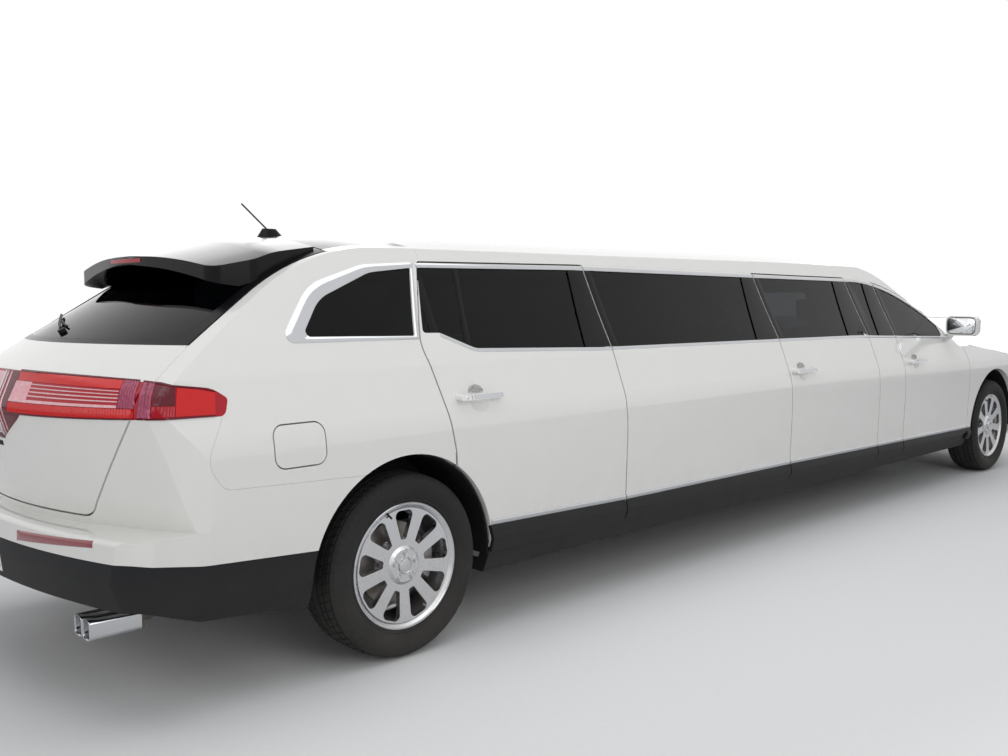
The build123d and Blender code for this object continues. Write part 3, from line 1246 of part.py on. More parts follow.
# Bar cabinet along the right side, with an open shelf
BAR = (REAR_DOOR_FRONT + 130, MIDDLE_DOOR_BACK - 90)
bar = block(BAR, (-HALF_WIDTH, -430), (SEAT_FLOOR, 960)) & CABIN_FIT
bar -= block((BAR[0] + 40, BAR[1] - 40), (-650, -420), (520, 900))
save("bar_cabinet", bar)
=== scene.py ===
"""Stretch limousine in white paint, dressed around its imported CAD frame.

Every length is in metres and every place is in the row frame: +X to the nose, +Y to the left
side, +Z up, with the origin on the ground midway along the car.
"""

from __future__ import annotations

import json
import logging
import math
import random
from collections.abc import Callable, Iterator, Sequence
from contextlib import contextmanager
from dataclasses import dataclass, field
from enum import Enum
from functools import partial

import bmesh
import bpy
from mathutils import Matrix, Vector
from mathutils.bvhtree import BVHTree

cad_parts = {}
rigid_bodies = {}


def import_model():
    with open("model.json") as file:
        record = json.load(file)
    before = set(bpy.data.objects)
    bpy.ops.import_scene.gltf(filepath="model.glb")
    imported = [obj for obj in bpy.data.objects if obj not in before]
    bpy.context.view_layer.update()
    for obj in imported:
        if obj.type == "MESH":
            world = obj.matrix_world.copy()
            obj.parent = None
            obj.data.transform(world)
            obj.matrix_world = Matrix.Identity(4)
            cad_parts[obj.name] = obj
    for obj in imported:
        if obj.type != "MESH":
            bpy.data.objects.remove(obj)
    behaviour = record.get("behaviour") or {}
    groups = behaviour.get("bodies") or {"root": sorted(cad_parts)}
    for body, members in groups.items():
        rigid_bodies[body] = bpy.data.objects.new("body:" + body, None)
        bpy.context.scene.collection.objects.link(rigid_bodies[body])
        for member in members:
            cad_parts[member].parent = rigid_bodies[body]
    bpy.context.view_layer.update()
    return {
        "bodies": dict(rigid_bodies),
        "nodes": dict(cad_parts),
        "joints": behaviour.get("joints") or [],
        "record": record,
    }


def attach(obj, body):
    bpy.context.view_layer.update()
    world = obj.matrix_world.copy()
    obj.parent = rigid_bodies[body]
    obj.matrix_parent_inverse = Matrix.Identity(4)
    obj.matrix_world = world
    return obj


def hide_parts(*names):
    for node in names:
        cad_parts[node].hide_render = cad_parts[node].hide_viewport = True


LOG = logging.getLogger("limousine")
VEHICLE = "vehicle"

Piece = bpy.types.Object
Tree = bpy.types.NodeTree
Node = bpy.types.Node
Socket = bpy.types.NodeSocket
Row = tuple[float, float, float]
Pair = tuple[float, float]
Sample = tuple[Vector, Vector]
Lift = Callable[[int, int], float]
Cast = Callable[[float, float], Sample]
Faces = list[tuple[int, ...]]

ORIGIN = Vector((0, 0, 0))

# Named places shared with the solids
NOSE = 4.1605
TAIL = -4.1605
FRONT_AXLE = 3.1565
REAR_AXLE = -2.8865
CANTRAIL = 1.588
BELT_FRONT = 1.096
BELT_MIDDLE = 1.150
BELT_REAR = 1.166
BELT_TAIL = 1.262
REAR_DOOR_BACK = -2.6475
REAR_DOOR_FRONT = -1.5445
MIDDLE_DOOR_BACK = -0.0095
MIDDLE_DOOR_FRONT = 1.1155
FRONT_DOOR_BACK = 1.5035
FRONT_DOOR_FRONT = 2.6265
TRACK = 1.650
TYRE_RADIUS = 0.370
REAR_ARCH = 0.448
FRONT_ARCH = 0.462
FIREWALL = 2.5165
SHUT_HALF = 0.0035


class Side(Enum):
    """Side of the car; the value is the sign of Y."""

    RIGHT = -1
    LEFT = 1

    @property
    def label(self) -> str:
        """Name used in node, body and piece names."""
        return self.name.lower()


class Corner(Enum):
    """Wheel stations: axle name, side."""

    FRONT_LEFT = ("front", Side.LEFT)
    FRONT_RIGHT = ("front", Side.RIGHT)
    REAR_LEFT = ("rear", Side.LEFT)
    REAR_RIGHT = ("rear", Side.RIGHT)

    @property
    def front(self) -> bool:
        """Whether the wheel is on the front axle."""
        return self.value[0] == "front"

    @property
    def side(self) -> Side:
        """Side of the car."""
        return self.value[1]

    @property
    def label(self) -> str:
        """Name used in node and body names."""
        return f"{self.value[0]}_{self.side.label}"

    @property
    def centre(self) -> Vector:
        """Wheel centre."""
        x = FRONT_AXLE if self.front else REAR_AXLE
        return Vector((x, self.side.value * TRACK / 2, TYRE_RADIUS))


def both_sides(*names: str) -> tuple[str, ...]:
    """Each name for the right and for the left side."""
    return tuple(f"{name}_{side.label}" for name in names for side in Side)


# Shader helpers


def feed(tree: Tree, target: Socket, value: object) -> None:
    """Link an input to an output socket, or set its value."""
    if isinstance(value, Socket):
        tree.links.new(value, target)
    else:
        target.default_value = value


def connect(tree: Tree, node: Node, **inputs: object) -> None:
    """Feed a node's inputs by name, with underscores for spaces."""
    for key, value in inputs.items():
        feed(tree, node.inputs[key.replace("_", " ")], value)


def place(tree: Tree, kind: str, settings: dict | None = None, **inputs: object) -> Node:
    """Add a node, set its properties and feed its inputs.

    Args:
        tree: Node tree that takes the node.
        kind: Blender's node type.
        settings: Properties of the node itself.
        **inputs: Input name (underscores for spaces) to a value or an output socket.

    Returns:
        The new node.
    """
    node = tree.nodes.new(kind)
    for key, value in (settings or {}).items():
        setattr(node, key, value)
    connect(tree, node, **inputs)
    return node


def math_node(tree: Tree, operation: str, first: object, second: object) -> Socket:
    """Output of a two-input Math node.

    Args:
        tree: Node tree that takes the node.
        operation: Blender's operation name.
        first: Value or socket for the first input.
        second: Value or socket for the second input.

    Returns:
        The node's output socket.
    """
    node = place(tree, "ShaderNodeMath", {"operation": operation})
    feed(tree, node.inputs[0], first)
    feed(tree, node.inputs[1], second)
    return node.outputs[0]


def blend_colors(tree: Tree, factor: object, first: object, second: object) -> Socket:
    """Colour mixed from two colours.

    Args:
        tree: Node tree that takes the node.
        factor: Value or socket from 0 to 1.
        first: Colour or socket at 0.
        second: Colour or socket at 1.

    Returns:
        The mixed colour's socket.
    """
    node = place(tree, "ShaderNodeMix", {"data_type": "RGBA"})
    for index, value in ((0, factor), (6, first), (7, second)):
        feed(tree, node.inputs[index], value)
    return node.outputs[2]


def shade(red: float, green: float, blue: float) -> tuple[float, float, float, float]:
    """Opaque colour."""
    return (red, green, blue, 1.0)


def object_place(tree: Tree) -> Socket:
    """Socket with the place on the object."""
    return place(tree, "ShaderNodeTexCoord").outputs["Object"]


def new_material(name: str) -> tuple[bpy.types.Material, Tree, Node]:
    """New material with its tree and its Principled BSDF."""
    material = bpy.data.materials.new(name)
    material.use_nodes = True
    return material, material.node_tree, material.node_tree.nodes["Principled BSDF"]


def new_group(
    name: str, inputs: dict[str, object], outputs: dict[str, str],
) -> tuple[Tree, Callable[[str], Socket], Node]:
    """Empty shader group with named sockets.

    Args:
        name: Group name.
        inputs: Input name to default value; a four-part value makes a colour socket.
        outputs: Output name to socket type.

    Returns:
        The tree, a function from an input's name to its socket, and the output node.
    """
    tree = bpy.data.node_groups.new(name, "ShaderNodeTree")
    for key, value in inputs.items():
        kind = "NodeSocketColor" if isinstance(value, tuple) else "NodeSocketFloat"
        tree.interface.new_socket(name=key, in_out="INPUT", socket_type=kind).default_value = value
    for key, kind in outputs.items():
        tree.interface.new_socket(name=key, in_out="OUTPUT", socket_type=kind)
    start = tree.nodes.new("NodeGroupInput")
    return tree, lambda key: start.outputs[key], tree.nodes.new("NodeGroupOutput")


@dataclass
class GroupShelf:
    """Shader groups that several finishes share; each is built once."""

    grain: Tree = field(init=False)
    dust: Tree = field(init=False)
    mottle: Tree = field(init=False)

    def __post_init__(self) -> None:
        """Build the groups."""
        self.grain = self._build_grain()
        self.dust = self._build_dust()
        self.mottle = self._build_mottle()

    def _build_grain(self) -> Tree:
        """Fine grain for moulded, cast and coated surfaces.

        Returns:
            Group with a Height output.
        """
        tree, given, end = new_group("fine_grain", {"Scale": 400.0, "Pebble": 0.5},
                                     {"Height": "NodeSocketFloat"})
        where = object_place(tree)
        cells = place(tree, "ShaderNodeTexVoronoi", {"feature": "SMOOTH_F1"}, Vector=where,
                      Scale=given("Scale"))
        noise = place(tree, "ShaderNodeTexNoise", Vector=where, Detail=4.0, Scale=given("Scale"))
        pebbles = math_node(tree, "MULTIPLY", cells.outputs["Distance"], given("Pebble"))
        connect(tree, end, Height=math_node(tree, "ADD", pebbles, noise.outputs[0]))
        return tree

    def _build_dust(self) -> Tree:
        """Road dust that gathers low on the car.

        Returns:
            Group with Color and Mask outputs.
        """
        inputs = {"Color": shade(0.5, 0.5, 0.5), "Dust": shade(0.3, 0.27, 0.23), "Top": 0.6,
                  "Amount": 0.5}
        outputs = {"Color": "NodeSocketColor", "Mask": "NodeSocketFloat"}
        tree, given, end = new_group("road_dust", inputs, outputs)
        where = object_place(tree)
        height = place(tree, "ShaderNodeSeparateXYZ", Vector=where).outputs["Z"]
        fall = math_node(tree, "SUBTRACT", 1.0, math_node(tree, "DIVIDE", height, given("Top")))
        noise = place(tree, "ShaderNodeTexNoise", Vector=where, Scale=7.0, Detail=6.0,
                      Roughness=0.65).outputs[0]
        speckle = place(tree, "ShaderNodeTexNoise", Vector=where, Scale=90.0, Detail=3.0).outputs[0]
        both = math_node(tree, "MULTIPLY", noise, math_node(tree, "ADD", speckle, 0.5))
        low = math_node(tree, "MAXIMUM", fall, 0.0)
        mask = math_node(tree, "MULTIPLY", math_node(tree, "MULTIPLY", low, both), given("Amount"))
        clamped = place(tree, "ShaderNodeClamp", Value=mask).outputs[0]
        connect(tree, end, Color=blend_colors(tree, clamped, given("Color"), given("Dust")),
                Mask=clamped)
        return tree

    def _build_mottle(self) -> Tree:
        """Soft variation of colour and roughness.

        Returns:
            Group with Color and Roughness outputs.
        """
        inputs = {"Color": shade(0.5, 0.5, 0.5), "Other": shade(0.4, 0.4, 0.4), "Scale": 6.0,
                  "Low": 0.3, "High": 0.5}
        outputs = {"Color": "NodeSocketColor", "Roughness": "NodeSocketFloat"}
        tree, given, end = new_group("soft_mottle", inputs, outputs)
        noise = place(
            tree, "ShaderNodeTexNoise", Vector=object_place(tree), Detail=5.0, Roughness=0.6,
            Scale=given("Scale"),
        ).outputs[0]
        spread = place(tree, "ShaderNodeMapRange", Value=noise, To_Min=given("Low"),
                       To_Max=given("High"))
        connect(
            tree, end, Color=blend_colors(tree, noise, given("Color"), given("Other")),
            Roughness=spread.outputs[0],
        )
        return tree


def use_group(tree: Tree, group: Tree, **inputs: object) -> Node:
    """Place a shader group in a material with its own values."""
    return place(tree, "ShaderNodeGroup", {"node_tree": group}, **inputs)


@dataclass(frozen=True)
class Finish:
    """Opaque finish with mottled colour, road dust and fine grain."""

    name: str
    color: Row
    other: Row
    rough: Pair = (0.35, 0.45)
    metallic: float = 0.0
    coat: float = 0.0
    coat_rough: float = 0.05
    specular: float = 0.5
    mottle_scale: float = 6.0
    grain_scale: float = 500.0
    pebble: float = 0.3
    grain_height: float = 0.0002
    grain_strength: float = 0.2
    dust: float = 0.5
    dust_top: float = 0.6
    dust_rough: float = 0.4

    def build(self, shelf: GroupShelf) -> bpy.types.Material:
        """Make the material.

        Args:
            shelf: Shared shader groups.

        Returns:
            The finished material.
        """
        material, tree, shader = new_material(self.name)
        mottle = use_group(
            tree, shelf.mottle, Color=shade(*self.color), Other=shade(*self.other),
            Scale=self.mottle_scale, Low=self.rough[0], High=self.rough[1],
        ).outputs
        dust = use_group(tree, shelf.dust, Color=mottle["Color"], Top=self.dust_top,
                         Amount=self.dust).outputs
        grain = use_group(tree, shelf.grain, Scale=self.grain_scale, Pebble=self.pebble).outputs
        bump = place(
            tree, "ShaderNodeBump", Strength=self.grain_strength, Distance=self.grain_height,
            Height=grain["Height"],
        )
        rougher = math_node(tree, "MULTIPLY", dust["Mask"], self.dust_rough)
        connect(
            tree, shader, Base_Color=dust["Color"], Normal=bump.outputs[0], Metallic=self.metallic,
            Roughness=math_node(tree, "ADD", mottle["Roughness"], rougher), Coat_Weight=self.coat,
            Coat_Roughness=self.coat_rough, Specular_IOR_Level=self.specular,
        )
        material.diffuse_color = shade(*self.color)
        return material


@dataclass(frozen=True)
class GlassFinish:
    """Clear or tinted glass."""

    name: str
    color: Row
    rough: float = 0.0
    ior: float = 1.45

    def build(self, shelf: GroupShelf) -> bpy.types.Material:
        """Make the material.

        Args:
            shelf: Shared shader groups.

        Returns:
            The finished material.
        """
        material, tree, shader = new_material(self.name)
        darker = shade(*[0.9 * part for part in self.color])
        mottle = use_group(tree, shelf.mottle, Color=shade(*self.color), Other=darker, Scale=3.0)
        connect(
            tree, shader, Transmission_Weight=1.0, Roughness=self.rough, IOR=self.ior,
            Base_Color=mottle.outputs["Color"],
        )
        material.diffuse_color = shade(*self.color)
        return material


FINISHES: tuple[Finish | GlassFinish, ...] = (
    Finish("paint_white", (0.83, 0.825, 0.80), (0.80, 0.79, 0.76), (0.28, 0.34), coat=1.0,
           coat_rough=0.03, grain_scale=1400.0, grain_height=0.00003, grain_strength=0.08,
           dust=0.35, dust_top=0.9),
    Finish("black_satin", (0.010, 0.0105, 0.012), (0.015, 0.0155, 0.017), (0.50, 0.60), pebble=0.8,
           specular=0.2, grain_scale=900.0, grain_height=0.0004, grain_strength=0.35, dust=0.15,
           dust_top=0.6),
    Finish("black_gloss", (0.004, 0.004, 0.005), (0.006, 0.006, 0.0075), (0.14, 0.20),
           specular=0.15, dust=0.05),
    Finish("chrome", (0.56, 0.57, 0.59), (0.50, 0.51, 0.53), (0.05, 0.10), metallic=1.0, dust=0.2,
           grain_strength=0.02),
    Finish("wheel_silver", (0.66, 0.67, 0.69), (0.6, 0.61, 0.63), (0.16, 0.24), metallic=1.0,
           coat=0.6, grain_scale=1600.0, grain_strength=0.05, dust=0.7, dust_top=0.7),
    Finish("brake_iron", (0.33, 0.32, 0.31), (0.2, 0.17, 0.15), (0.35, 0.55), metallic=1.0,
           mottle_scale=30.0, grain_scale=300.0, grain_strength=0.3, dust=0.6),
    Finish("tyre_rubber", (0.012, 0.012, 0.013), (0.018, 0.018, 0.018), (0.66, 0.80),
           mottle_scale=14.0, specular=0.25, grain_scale=700.0, grain_height=0.0003,
           grain_strength=0.35, dust=0.15, dust_top=0.75),
    Finish("steel_dark", (0.07, 0.07, 0.075), (0.1, 0.085, 0.07), (0.45, 0.65), metallic=0.5,
           mottle_scale=12.0, grain_scale=300.0, grain_strength=0.4, dust=0.8, dust_top=0.9),
    Finish("engine_metal", (0.42, 0.42, 0.43), (0.3, 0.29, 0.28), (0.4, 0.6), metallic=0.9,
           mottle_scale=20.0, grain_scale=250.0, grain_height=0.0006, grain_strength=0.5, dust=0.5,
           dust_top=1.0),
    Finish("leather", (0.045, 0.042, 0.04), (0.06, 0.055, 0.05), (0.38, 0.5), mottle_scale=25.0,
           grain_scale=260.0, grain_height=0.0008, grain_strength=0.45, pebble=1.0, dust=0.0),
    Finish("trim_soft", (0.05, 0.05, 0.052), (0.06, 0.06, 0.062), (0.5, 0.62), mottle_scale=20.0,
           grain_scale=500.0, grain_height=0.0005, grain_strength=0.4, pebble=0.9, dust=0.0),
    Finish("cabinet", (0.09, 0.035, 0.015), (0.035, 0.014, 0.007), (0.18, 0.28), coat=0.8,
           mottle_scale=9.0, grain_scale=60.0, grain_strength=0.1, dust=0.0),
    Finish("lamp_red", (0.50, 0.006, 0.020), (0.36, 0.004, 0.014), (0.08, 0.12), specular=0.35,
           mottle_scale=18.0, dust=0.05),
    Finish("lamp_amber_red", (0.74, 0.014, 0.012), (0.58, 0.008, 0.012), (0.08, 0.14),
           specular=0.35, mottle_scale=30.0, dust=0.05),
    Finish("lamp_edge", (0.090, 0.002, 0.010), (0.15, 0.004, 0.016), (0.10, 0.16), specular=0.35,
           mottle_scale=30.0, dust=0.05),
    Finish("lamp_prism", (0.46, 0.10, 0.17), (0.13, 0.01, 0.04), (0.12, 0.26), metallic=0.3,
           specular=0.35, mottle_scale=70.0, grain_scale=140.0, grain_height=0.0015,
           grain_strength=0.6, pebble=1.0, dust=0.05),
    Finish("lamp_silver", (0.80, 0.62, 0.64), (0.62, 0.20, 0.24), (0.14, 0.32), metallic=0.5,
           specular=0.4, mottle_scale=55.0, grain_scale=200.0, grain_height=0.001,
           grain_strength=0.5, pebble=1.0, dust=0.05),
    Finish("lamp_clear", (0.7, 0.72, 0.75), (0.6, 0.62, 0.66), (0.08, 0.16), metallic=0.6, coat=1.0,
           dust=0.2),
    Finish("reflector_red", (0.28, 0.012, 0.03), (0.22, 0.01, 0.02), (0.18, 0.26), coat=1.0,
           grain_scale=300.0, grain_height=0.0008, grain_strength=0.5, pebble=1.0, dust=0.3),
    # Darker paint for the patch behind each door handle: painted shade of the handle recess.
    Finish("paint_shade", (0.40, 0.39, 0.37), (0.34, 0.33, 0.31), (0.34, 0.42), coat=0.8, dust=0.1),
    Finish("mirror_glass", (0.86, 0.88, 0.9), (0.84, 0.86, 0.88), (0.01, 0.02), metallic=1.0,
           dust=0.0, grain_strength=0.0),
    Finish("plate_blank", (0.78, 0.76, 0.7), (0.74, 0.72, 0.66), (0.35, 0.42), grain_scale=700.0,
           grain_strength=0.2, dust=0.4),
    Finish("screen_glass", (0.01, 0.011, 0.014), (0.012, 0.013, 0.016), (0.05, 0.08), coat=1.0,
           dust=0.0),
    GlassFinish("glass_dark", (0.030, 0.034, 0.040), ior=1.24),
    GlassFinish("glass_clear", (0.72, 0.78, 0.78), ior=1.3),
    GlassFinish("glassware", (0.93, 0.95, 0.96), rough=0.02),
)


@dataclass
class Palette:
    """All finishes by name."""

    shelf: GroupShelf = field(default_factory=GroupShelf)
    materials: dict[str, bpy.types.Material] = field(default_factory=dict)

    def __post_init__(self) -> None:
        """Build every finish once."""
        for finish in FINISHES:
            self.materials[finish.name] = finish.build(self.shelf)

    def dress(self, piece: Piece, finish: str) -> None:
        """Give a piece one finish on all its material slots."""
        slots = piece.data.materials
        if not slots:
            slots.append(self.materials[finish])
        for index in range(len(slots)):
            slots[index] = self.materials[finish]


# Outlines of straight runs joined by tangent arcs


def between(first: Sequence[float], last: Sequence[float], share: float) -> Pair:
    """Point on the line from first to last."""
    return first[0] + (last[0] - first[0]) * share, first[1] + (last[1] - first[1]) * share


def line_height(first: Pair, last: Pair, x: float) -> float:
    """Height at x of the line through two points."""
    return first[1] + (last[1] - first[1]) * (x - first[0]) / (last[0] - first[0])


def height_at(line: Sequence[Pair], x: float) -> float:
    """Height at x of a polyline with x rising; its last height beyond it."""
    for first, last in zip(line, line[1:]):
        if x <= last[0]:
            return line_height(first, last, x)
    return line[-1][1]


def rectangle(centre: Pair, half: Pair, radius: float) -> list[Row]:
    """Corners of an upright rectangle with one corner radius."""
    (a, b), (wide, high) = centre, half
    return [(a + wide * p, b + high * q, radius) for p, q in ((-1, -1), (-1, 1), (1, 1), (1, -1))]


def bar_corners(half: float, low: float, high: float) -> list[Pair]:
    """Corners of a level bar across the car as y, z."""
    return [(-half, low), (half, low), (half, high), (-half, high)]


def mirrored(corners: Sequence[Pair], side: Side) -> list[Pair]:
    """Corners given for the left side as y, z, on either side."""
    return [(y * side.value, z) for y, z in corners]


def settle(rule: Callable[[float], bool], low: float, high: float) -> float:
    """Value between low and high up to which a rule holds, found by halving."""
    for _ in range(24):
        middle = (low + high) / 2
        low, high = (middle, high) if rule(middle) else (low, middle)
    return (low + high) / 2


def inset_rows(rows: list[Row], depth: float) -> list[Row]:
    """Move every side of a closed outline inwards.

    Args:
        rows: Corners as a, b, corner radius.
        depth: Distance inwards; negative moves outwards.

    Returns:
        The moved corners.
    """
    turning = sum(a[0] * b[1] - b[0] * a[1] for a, b in zip(rows, rows[1:] + rows[:1]))
    side = math.copysign(1, turning)
    moved = []
    for before, here, after in zip(rows[-1:] + rows[:-1], rows, rows[1:] + rows[:1]):
        run_in = Vector((here[0] - before[0], here[1] - before[1])).normalized()
        run_out = Vector((after[0] - here[0], after[1] - here[1])).normalized()
        normal_in = Vector((-run_in.y, run_in.x)) * side
        normal_out = Vector((-run_out.y, run_out.x)) * side
        shift = (normal_in + normal_out) / (1 + normal_in.dot(normal_out)) * depth
        bulges = (run_in.x * run_out.y - run_in.y * run_out.x) * side > 0
        radius = here[2]
        if radius:
            radius = max(radius - depth, 0.001) if bulges else radius + depth
        moved.append((here[0] + shift.x, here[1] + shift.y, radius))
    return moved


def outline_points(rows: list[Row], closed: bool = True, arc_steps: int = 10) -> list[Pair]:
    """Points along an outline of runs and tangent arcs.

    Args:
        rows: Corners as a, b, corner radius.
        closed: Whether the last corner joins the first.
        arc_steps: Pieces per arc.

    Returns:
        Points as a, b.
    """
    points: list[Pair] = []
    count = len(rows)
    for index, here in enumerate(rows):
        if not closed and index in (0, count - 1):
            points.append((here[0], here[1]))
            continue
        corner = Vector(here[:2])
        back = (Vector(rows[index - 1][:2]) - corner).normalized()
        ahead = (Vector(rows[(index + 1) % count][:2]) - corner).normalized()
        half = math.acos(max(-1.0, min(1.0, back.dot(ahead)))) / 2
        if not here[2] or half > math.pi / 2 - 1e-3:
            points.append((corner.x, corner.y))
            continue
        centre = corner + (back + ahead).normalized() * (here[2] / math.sin(half))
        first = corner + back * (here[2] / math.tan(half)) - centre
        last = corner + ahead * (here[2] / math.tan(half)) - centre
        start = math.atan2(first.y, first.x)
        turn = (math.atan2(last.y, last.x) - start + math.pi) % (2 * math.pi) - math.pi
        for step in range(arc_steps + 1):
            angle = start + turn * step / arc_steps
            points.append((centre.x + here[2] * math.cos(angle),
                           centre.y + here[2] * math.sin(angle)))
    return points


def evenly(points: Sequence[Pair], step: float, closed: bool = False) -> list[Pair]:
    """Points at an even spacing along a polyline.

    Args:
        points: The polyline.
        step: Largest spacing.
        closed: Whether the last point joins the first.

    Returns:
        The spaced points.
    """
    spaced = [points[0]]
    for first, last in zip(points, [*points[1:], points[0]] if closed else points[1:]):
        pieces = max(1, math.ceil(math.dist(first, last) / step))
        spaced += [between(first, last, index / pieces) for index in range(1, pieces + 1)]
    cleaned = [spaced[0]]
    for point in spaced[1:]:
        if math.dist(point, cleaned[-1]) > 1e-5:
            cleaned.append(point)
    return cleaned


WINDOW_BAND: list[Row] = [
    (REAR_DOOR_BACK - 0.040, BELT_TAIL + 0.022, 0.012),
    (REAR_DOOR_BACK + 0.042, CANTRAIL - 0.032, 0.015),
    (REAR_AXLE + 1.290, CANTRAIL - 0.028, 3.0),
    (FRONT_AXLE - 1.421, CANTRAIL - 0.075, 1.97),
    (FRONT_AXLE - 0.906, BELT_FRONT + 0.100, 0.030),
    (FRONT_AXLE - 0.894, BELT_FRONT + 0.024, 0.012),
    (FRONT_AXLE - 2.200, BELT_MIDDLE + 0.016, 2.0),
    (REAR_AXLE + 1.270, BELT_REAR + 0.020, 2.0),
    (REAR_AXLE + 0.460, BELT_REAR + 0.046, 0.120),
    (REAR_AXLE + 0.290, BELT_TAIL + 0.020, 0.060),
]
QUARTER_WINDOW: list[Row] = [
    (REAR_DOOR_BACK + 0.002, CANTRAIL - 0.034, 0.006),
    (REAR_AXLE + 0.017, CANTRAIL - 0.056, 0.200),
    (REAR_AXLE - 0.257, CANTRAIL - 0.161, 0.200),
    (REAR_AXLE - 0.380, BELT_TAIL + 0.023, 0.018),
    (REAR_DOOR_BACK - 0.088, BELT_TAIL + 0.012, 0.008),
]
QUARTER_CHROME: list[Row] = [
    (REAR_DOOR_BACK + 0.026, CANTRAIL - 0.010, 0.004),
    (REAR_AXLE - 0.010, CANTRAIL - 0.024, 0.250),
    (REAR_AXLE - 0.290, CANTRAIL - 0.106, 0.260),
    (REAR_AXLE - 0.485, BELT_TAIL + 0.002, 0.030),
    (REAR_DOOR_BACK - 0.066, BELT_TAIL - 0.002, 0.004),
]


# Mesh helpers


@contextmanager
def edited(mesh: bpy.types.Mesh) -> Iterator[bmesh.types.BMesh]:
    """Edit form of a mesh, written back at the end."""
    work = bmesh.new()
    work.from_mesh(mesh)
    yield work
    work.to_mesh(mesh)
    work.free()


def link_mesh(name: str, mesh: bpy.types.Mesh, sharp: float = 180.0) -> Piece:
    """Linked object of a mesh, shaded smooth up to an edge angle in degrees."""
    mesh.shade_smooth()
    if sharp < 180.0:
        mesh.set_sharp_from_angle(angle=math.radians(sharp))
    piece = bpy.data.objects.new(name, mesh)
    bpy.context.scene.collection.objects.link(piece)
    return piece


def mesh_piece(name: str, verts: list[Vector], faces: Faces, sharp: float = 180.0,
               bevel: float = 0.0) -> Piece:
    """New mesh object in the row frame.

    Args:
        name: Piece name.
        verts: Vertices.
        faces: Faces as vertex numbers.
        sharp: Angle in degrees above which an edge is drawn sharp.
        bevel: Bevel on the rims of faces with more than four corners.

    Returns:
        The linked object.
    """
    mesh = bpy.data.meshes.new(name)
    mesh.from_pydata([tuple(v) for v in verts], [], faces)
    mesh.update()
    with edited(mesh) as work:
        bmesh.ops.recalc_face_normals(work, faces=work.faces)
        if bevel:
            rims = [e for e in work.edges if any(len(f.verts) > 4 for f in e.link_faces)]
            bevel_edges(work, rims, bevel, 2)
    return link_mesh(name, mesh, sharp)


def bevel_edges(work: bmesh.types.BMesh, edges: list[bmesh.types.BMEdge], offset: float,
                segments: int) -> None:
    """Round edges of a mesh that is being edited."""
    bmesh.ops.bevel(
        work, geom=edges, offset=offset, segments=segments, profile=0.5, affect="EDGES",
        clamp_overlap=True,
    )


def loop_faces(loops: int, count: int, round_trip: bool = False, closed: bool = True) -> Faces:
    """Faces between successive loops of vertices.

    Args:
        loops: Number of loops.
        count: Vertices in each loop.
        round_trip: Whether the last loop joins the first.
        closed: Whether each loop closes on itself.

    Returns:
        Faces as vertex numbers.
    """
    faces = []
    for k in range(loops if round_trip else loops - 1):
        here, there = k * count, (k + 1) % loops * count
        for i in range(count if closed else count - 1):
            j = (i + 1) % count
            faces.append((here + i, here + j, there + j, there + i))
    return faces


def slab(name: str, grid: list[list[Sample]], lift: Lift, sink: float = 0.002,
         cut: float = 40.0) -> Piece:
    """Closed strip or patch that follows a surface.

    Args:
        name: Piece name.
        grid: Rows of surface samples as place and outward normal.
        lift: Height over the surface for a row and a column.
        sink: Depth of the underside below the surface.
        cut: Angle in degrees above which an edge is drawn sharp.

    Returns:
        The linked object.
    """
    rows, width = len(grid), len(grid[0])
    top = [p + n * lift(i, j) for i, row in enumerate(grid) for j, (p, n) in enumerate(row)]
    bottom = [p - n * sink for row in grid for p, n in row]
    shift = rows * width
    faces = loop_faces(rows, width, closed=False)
    faces += [tuple(k + shift for k in reversed(quad)) for quad in faces]
    edge = [*range(width), *range(2 * width - 1, shift, width)]
    edge += [*range(shift - 2, shift - width - 1, -1), *range(shift - 2 * width, 0, -width)]
    faces += [(a, a + shift, b + shift, b) for a, b in zip(edge, edge[1:] + edge[:1])]
    return mesh_piece(name, top + bottom, faces, cut)


def round_y(centre: Vector, radius: float, angle: float, offset: float = 0.0) -> Vector:
    """Point at a radius and an angle in radians round a line along Y."""
    return centre + Vector((radius * math.cos(angle), offset, radius * math.sin(angle)))


def turned_piece(name: str, rows: Sequence[Pair], centre: Vector = ORIGIN,
                 steps: int = 64) -> Piece:
    """Ring turned about a line along Y.

    Args:
        name: Piece name.
        rows: Outline as radius and offset along Y.
        centre: Centre of the turning.
        steps: Steps round.

    Returns:
        The linked object.
    """
    angles = [2 * math.pi * step / steps for step in range(steps)]
    verts = [round_y(centre, radius, angle, offset) for angle in angles for radius, offset in rows]
    return mesh_piece(name, verts, loop_faces(steps, len(rows), round_trip=True), 35)


def seat_on(piece: Piece, sample: Sample) -> None:
    """Move a piece that was turned about Y at the origin onto a surface sample."""
    spot, normal = sample
    turn = Vector((0, 1, 0)).rotation_difference(normal).to_matrix().to_4x4()
    piece.data.transform(Matrix.Translation(spot) @ turn)


def tube(name: str, points: list[Vector], radius: float, sides: int = 12) -> Piece:
    """Round bar along a line of points, with closed ends.

    Args:
        name: Piece name.
        points: Centre line.
        radius: Bar radius.
        sides: Sides of the bar.

    Returns:
        The linked object.
    """
    verts: list[Vector] = []
    up = Vector((0, 0, 1))
    for before, point, after in zip(points[:1] + points, points, points[1:] + points[-1:]):
        ahead = (after - before).normalized()
        reference = up if abs(ahead.dot(up)) < 0.95 else Vector((1, 0, 0))
        across = ahead.cross(reference).normalized()
        lift = across.cross(ahead)
        for side in range(sides):
            angle = 2 * math.pi * side / sides
            verts.append(point + (across * math.cos(angle) + lift * math.sin(angle)) * radius)
    faces = loop_faces(len(points), sides)
    faces.append(tuple(reversed(range(sides))))
    faces.append(tuple(range(len(verts) - sides, len(verts))))
    return mesh_piece(name, verts, faces, 50)


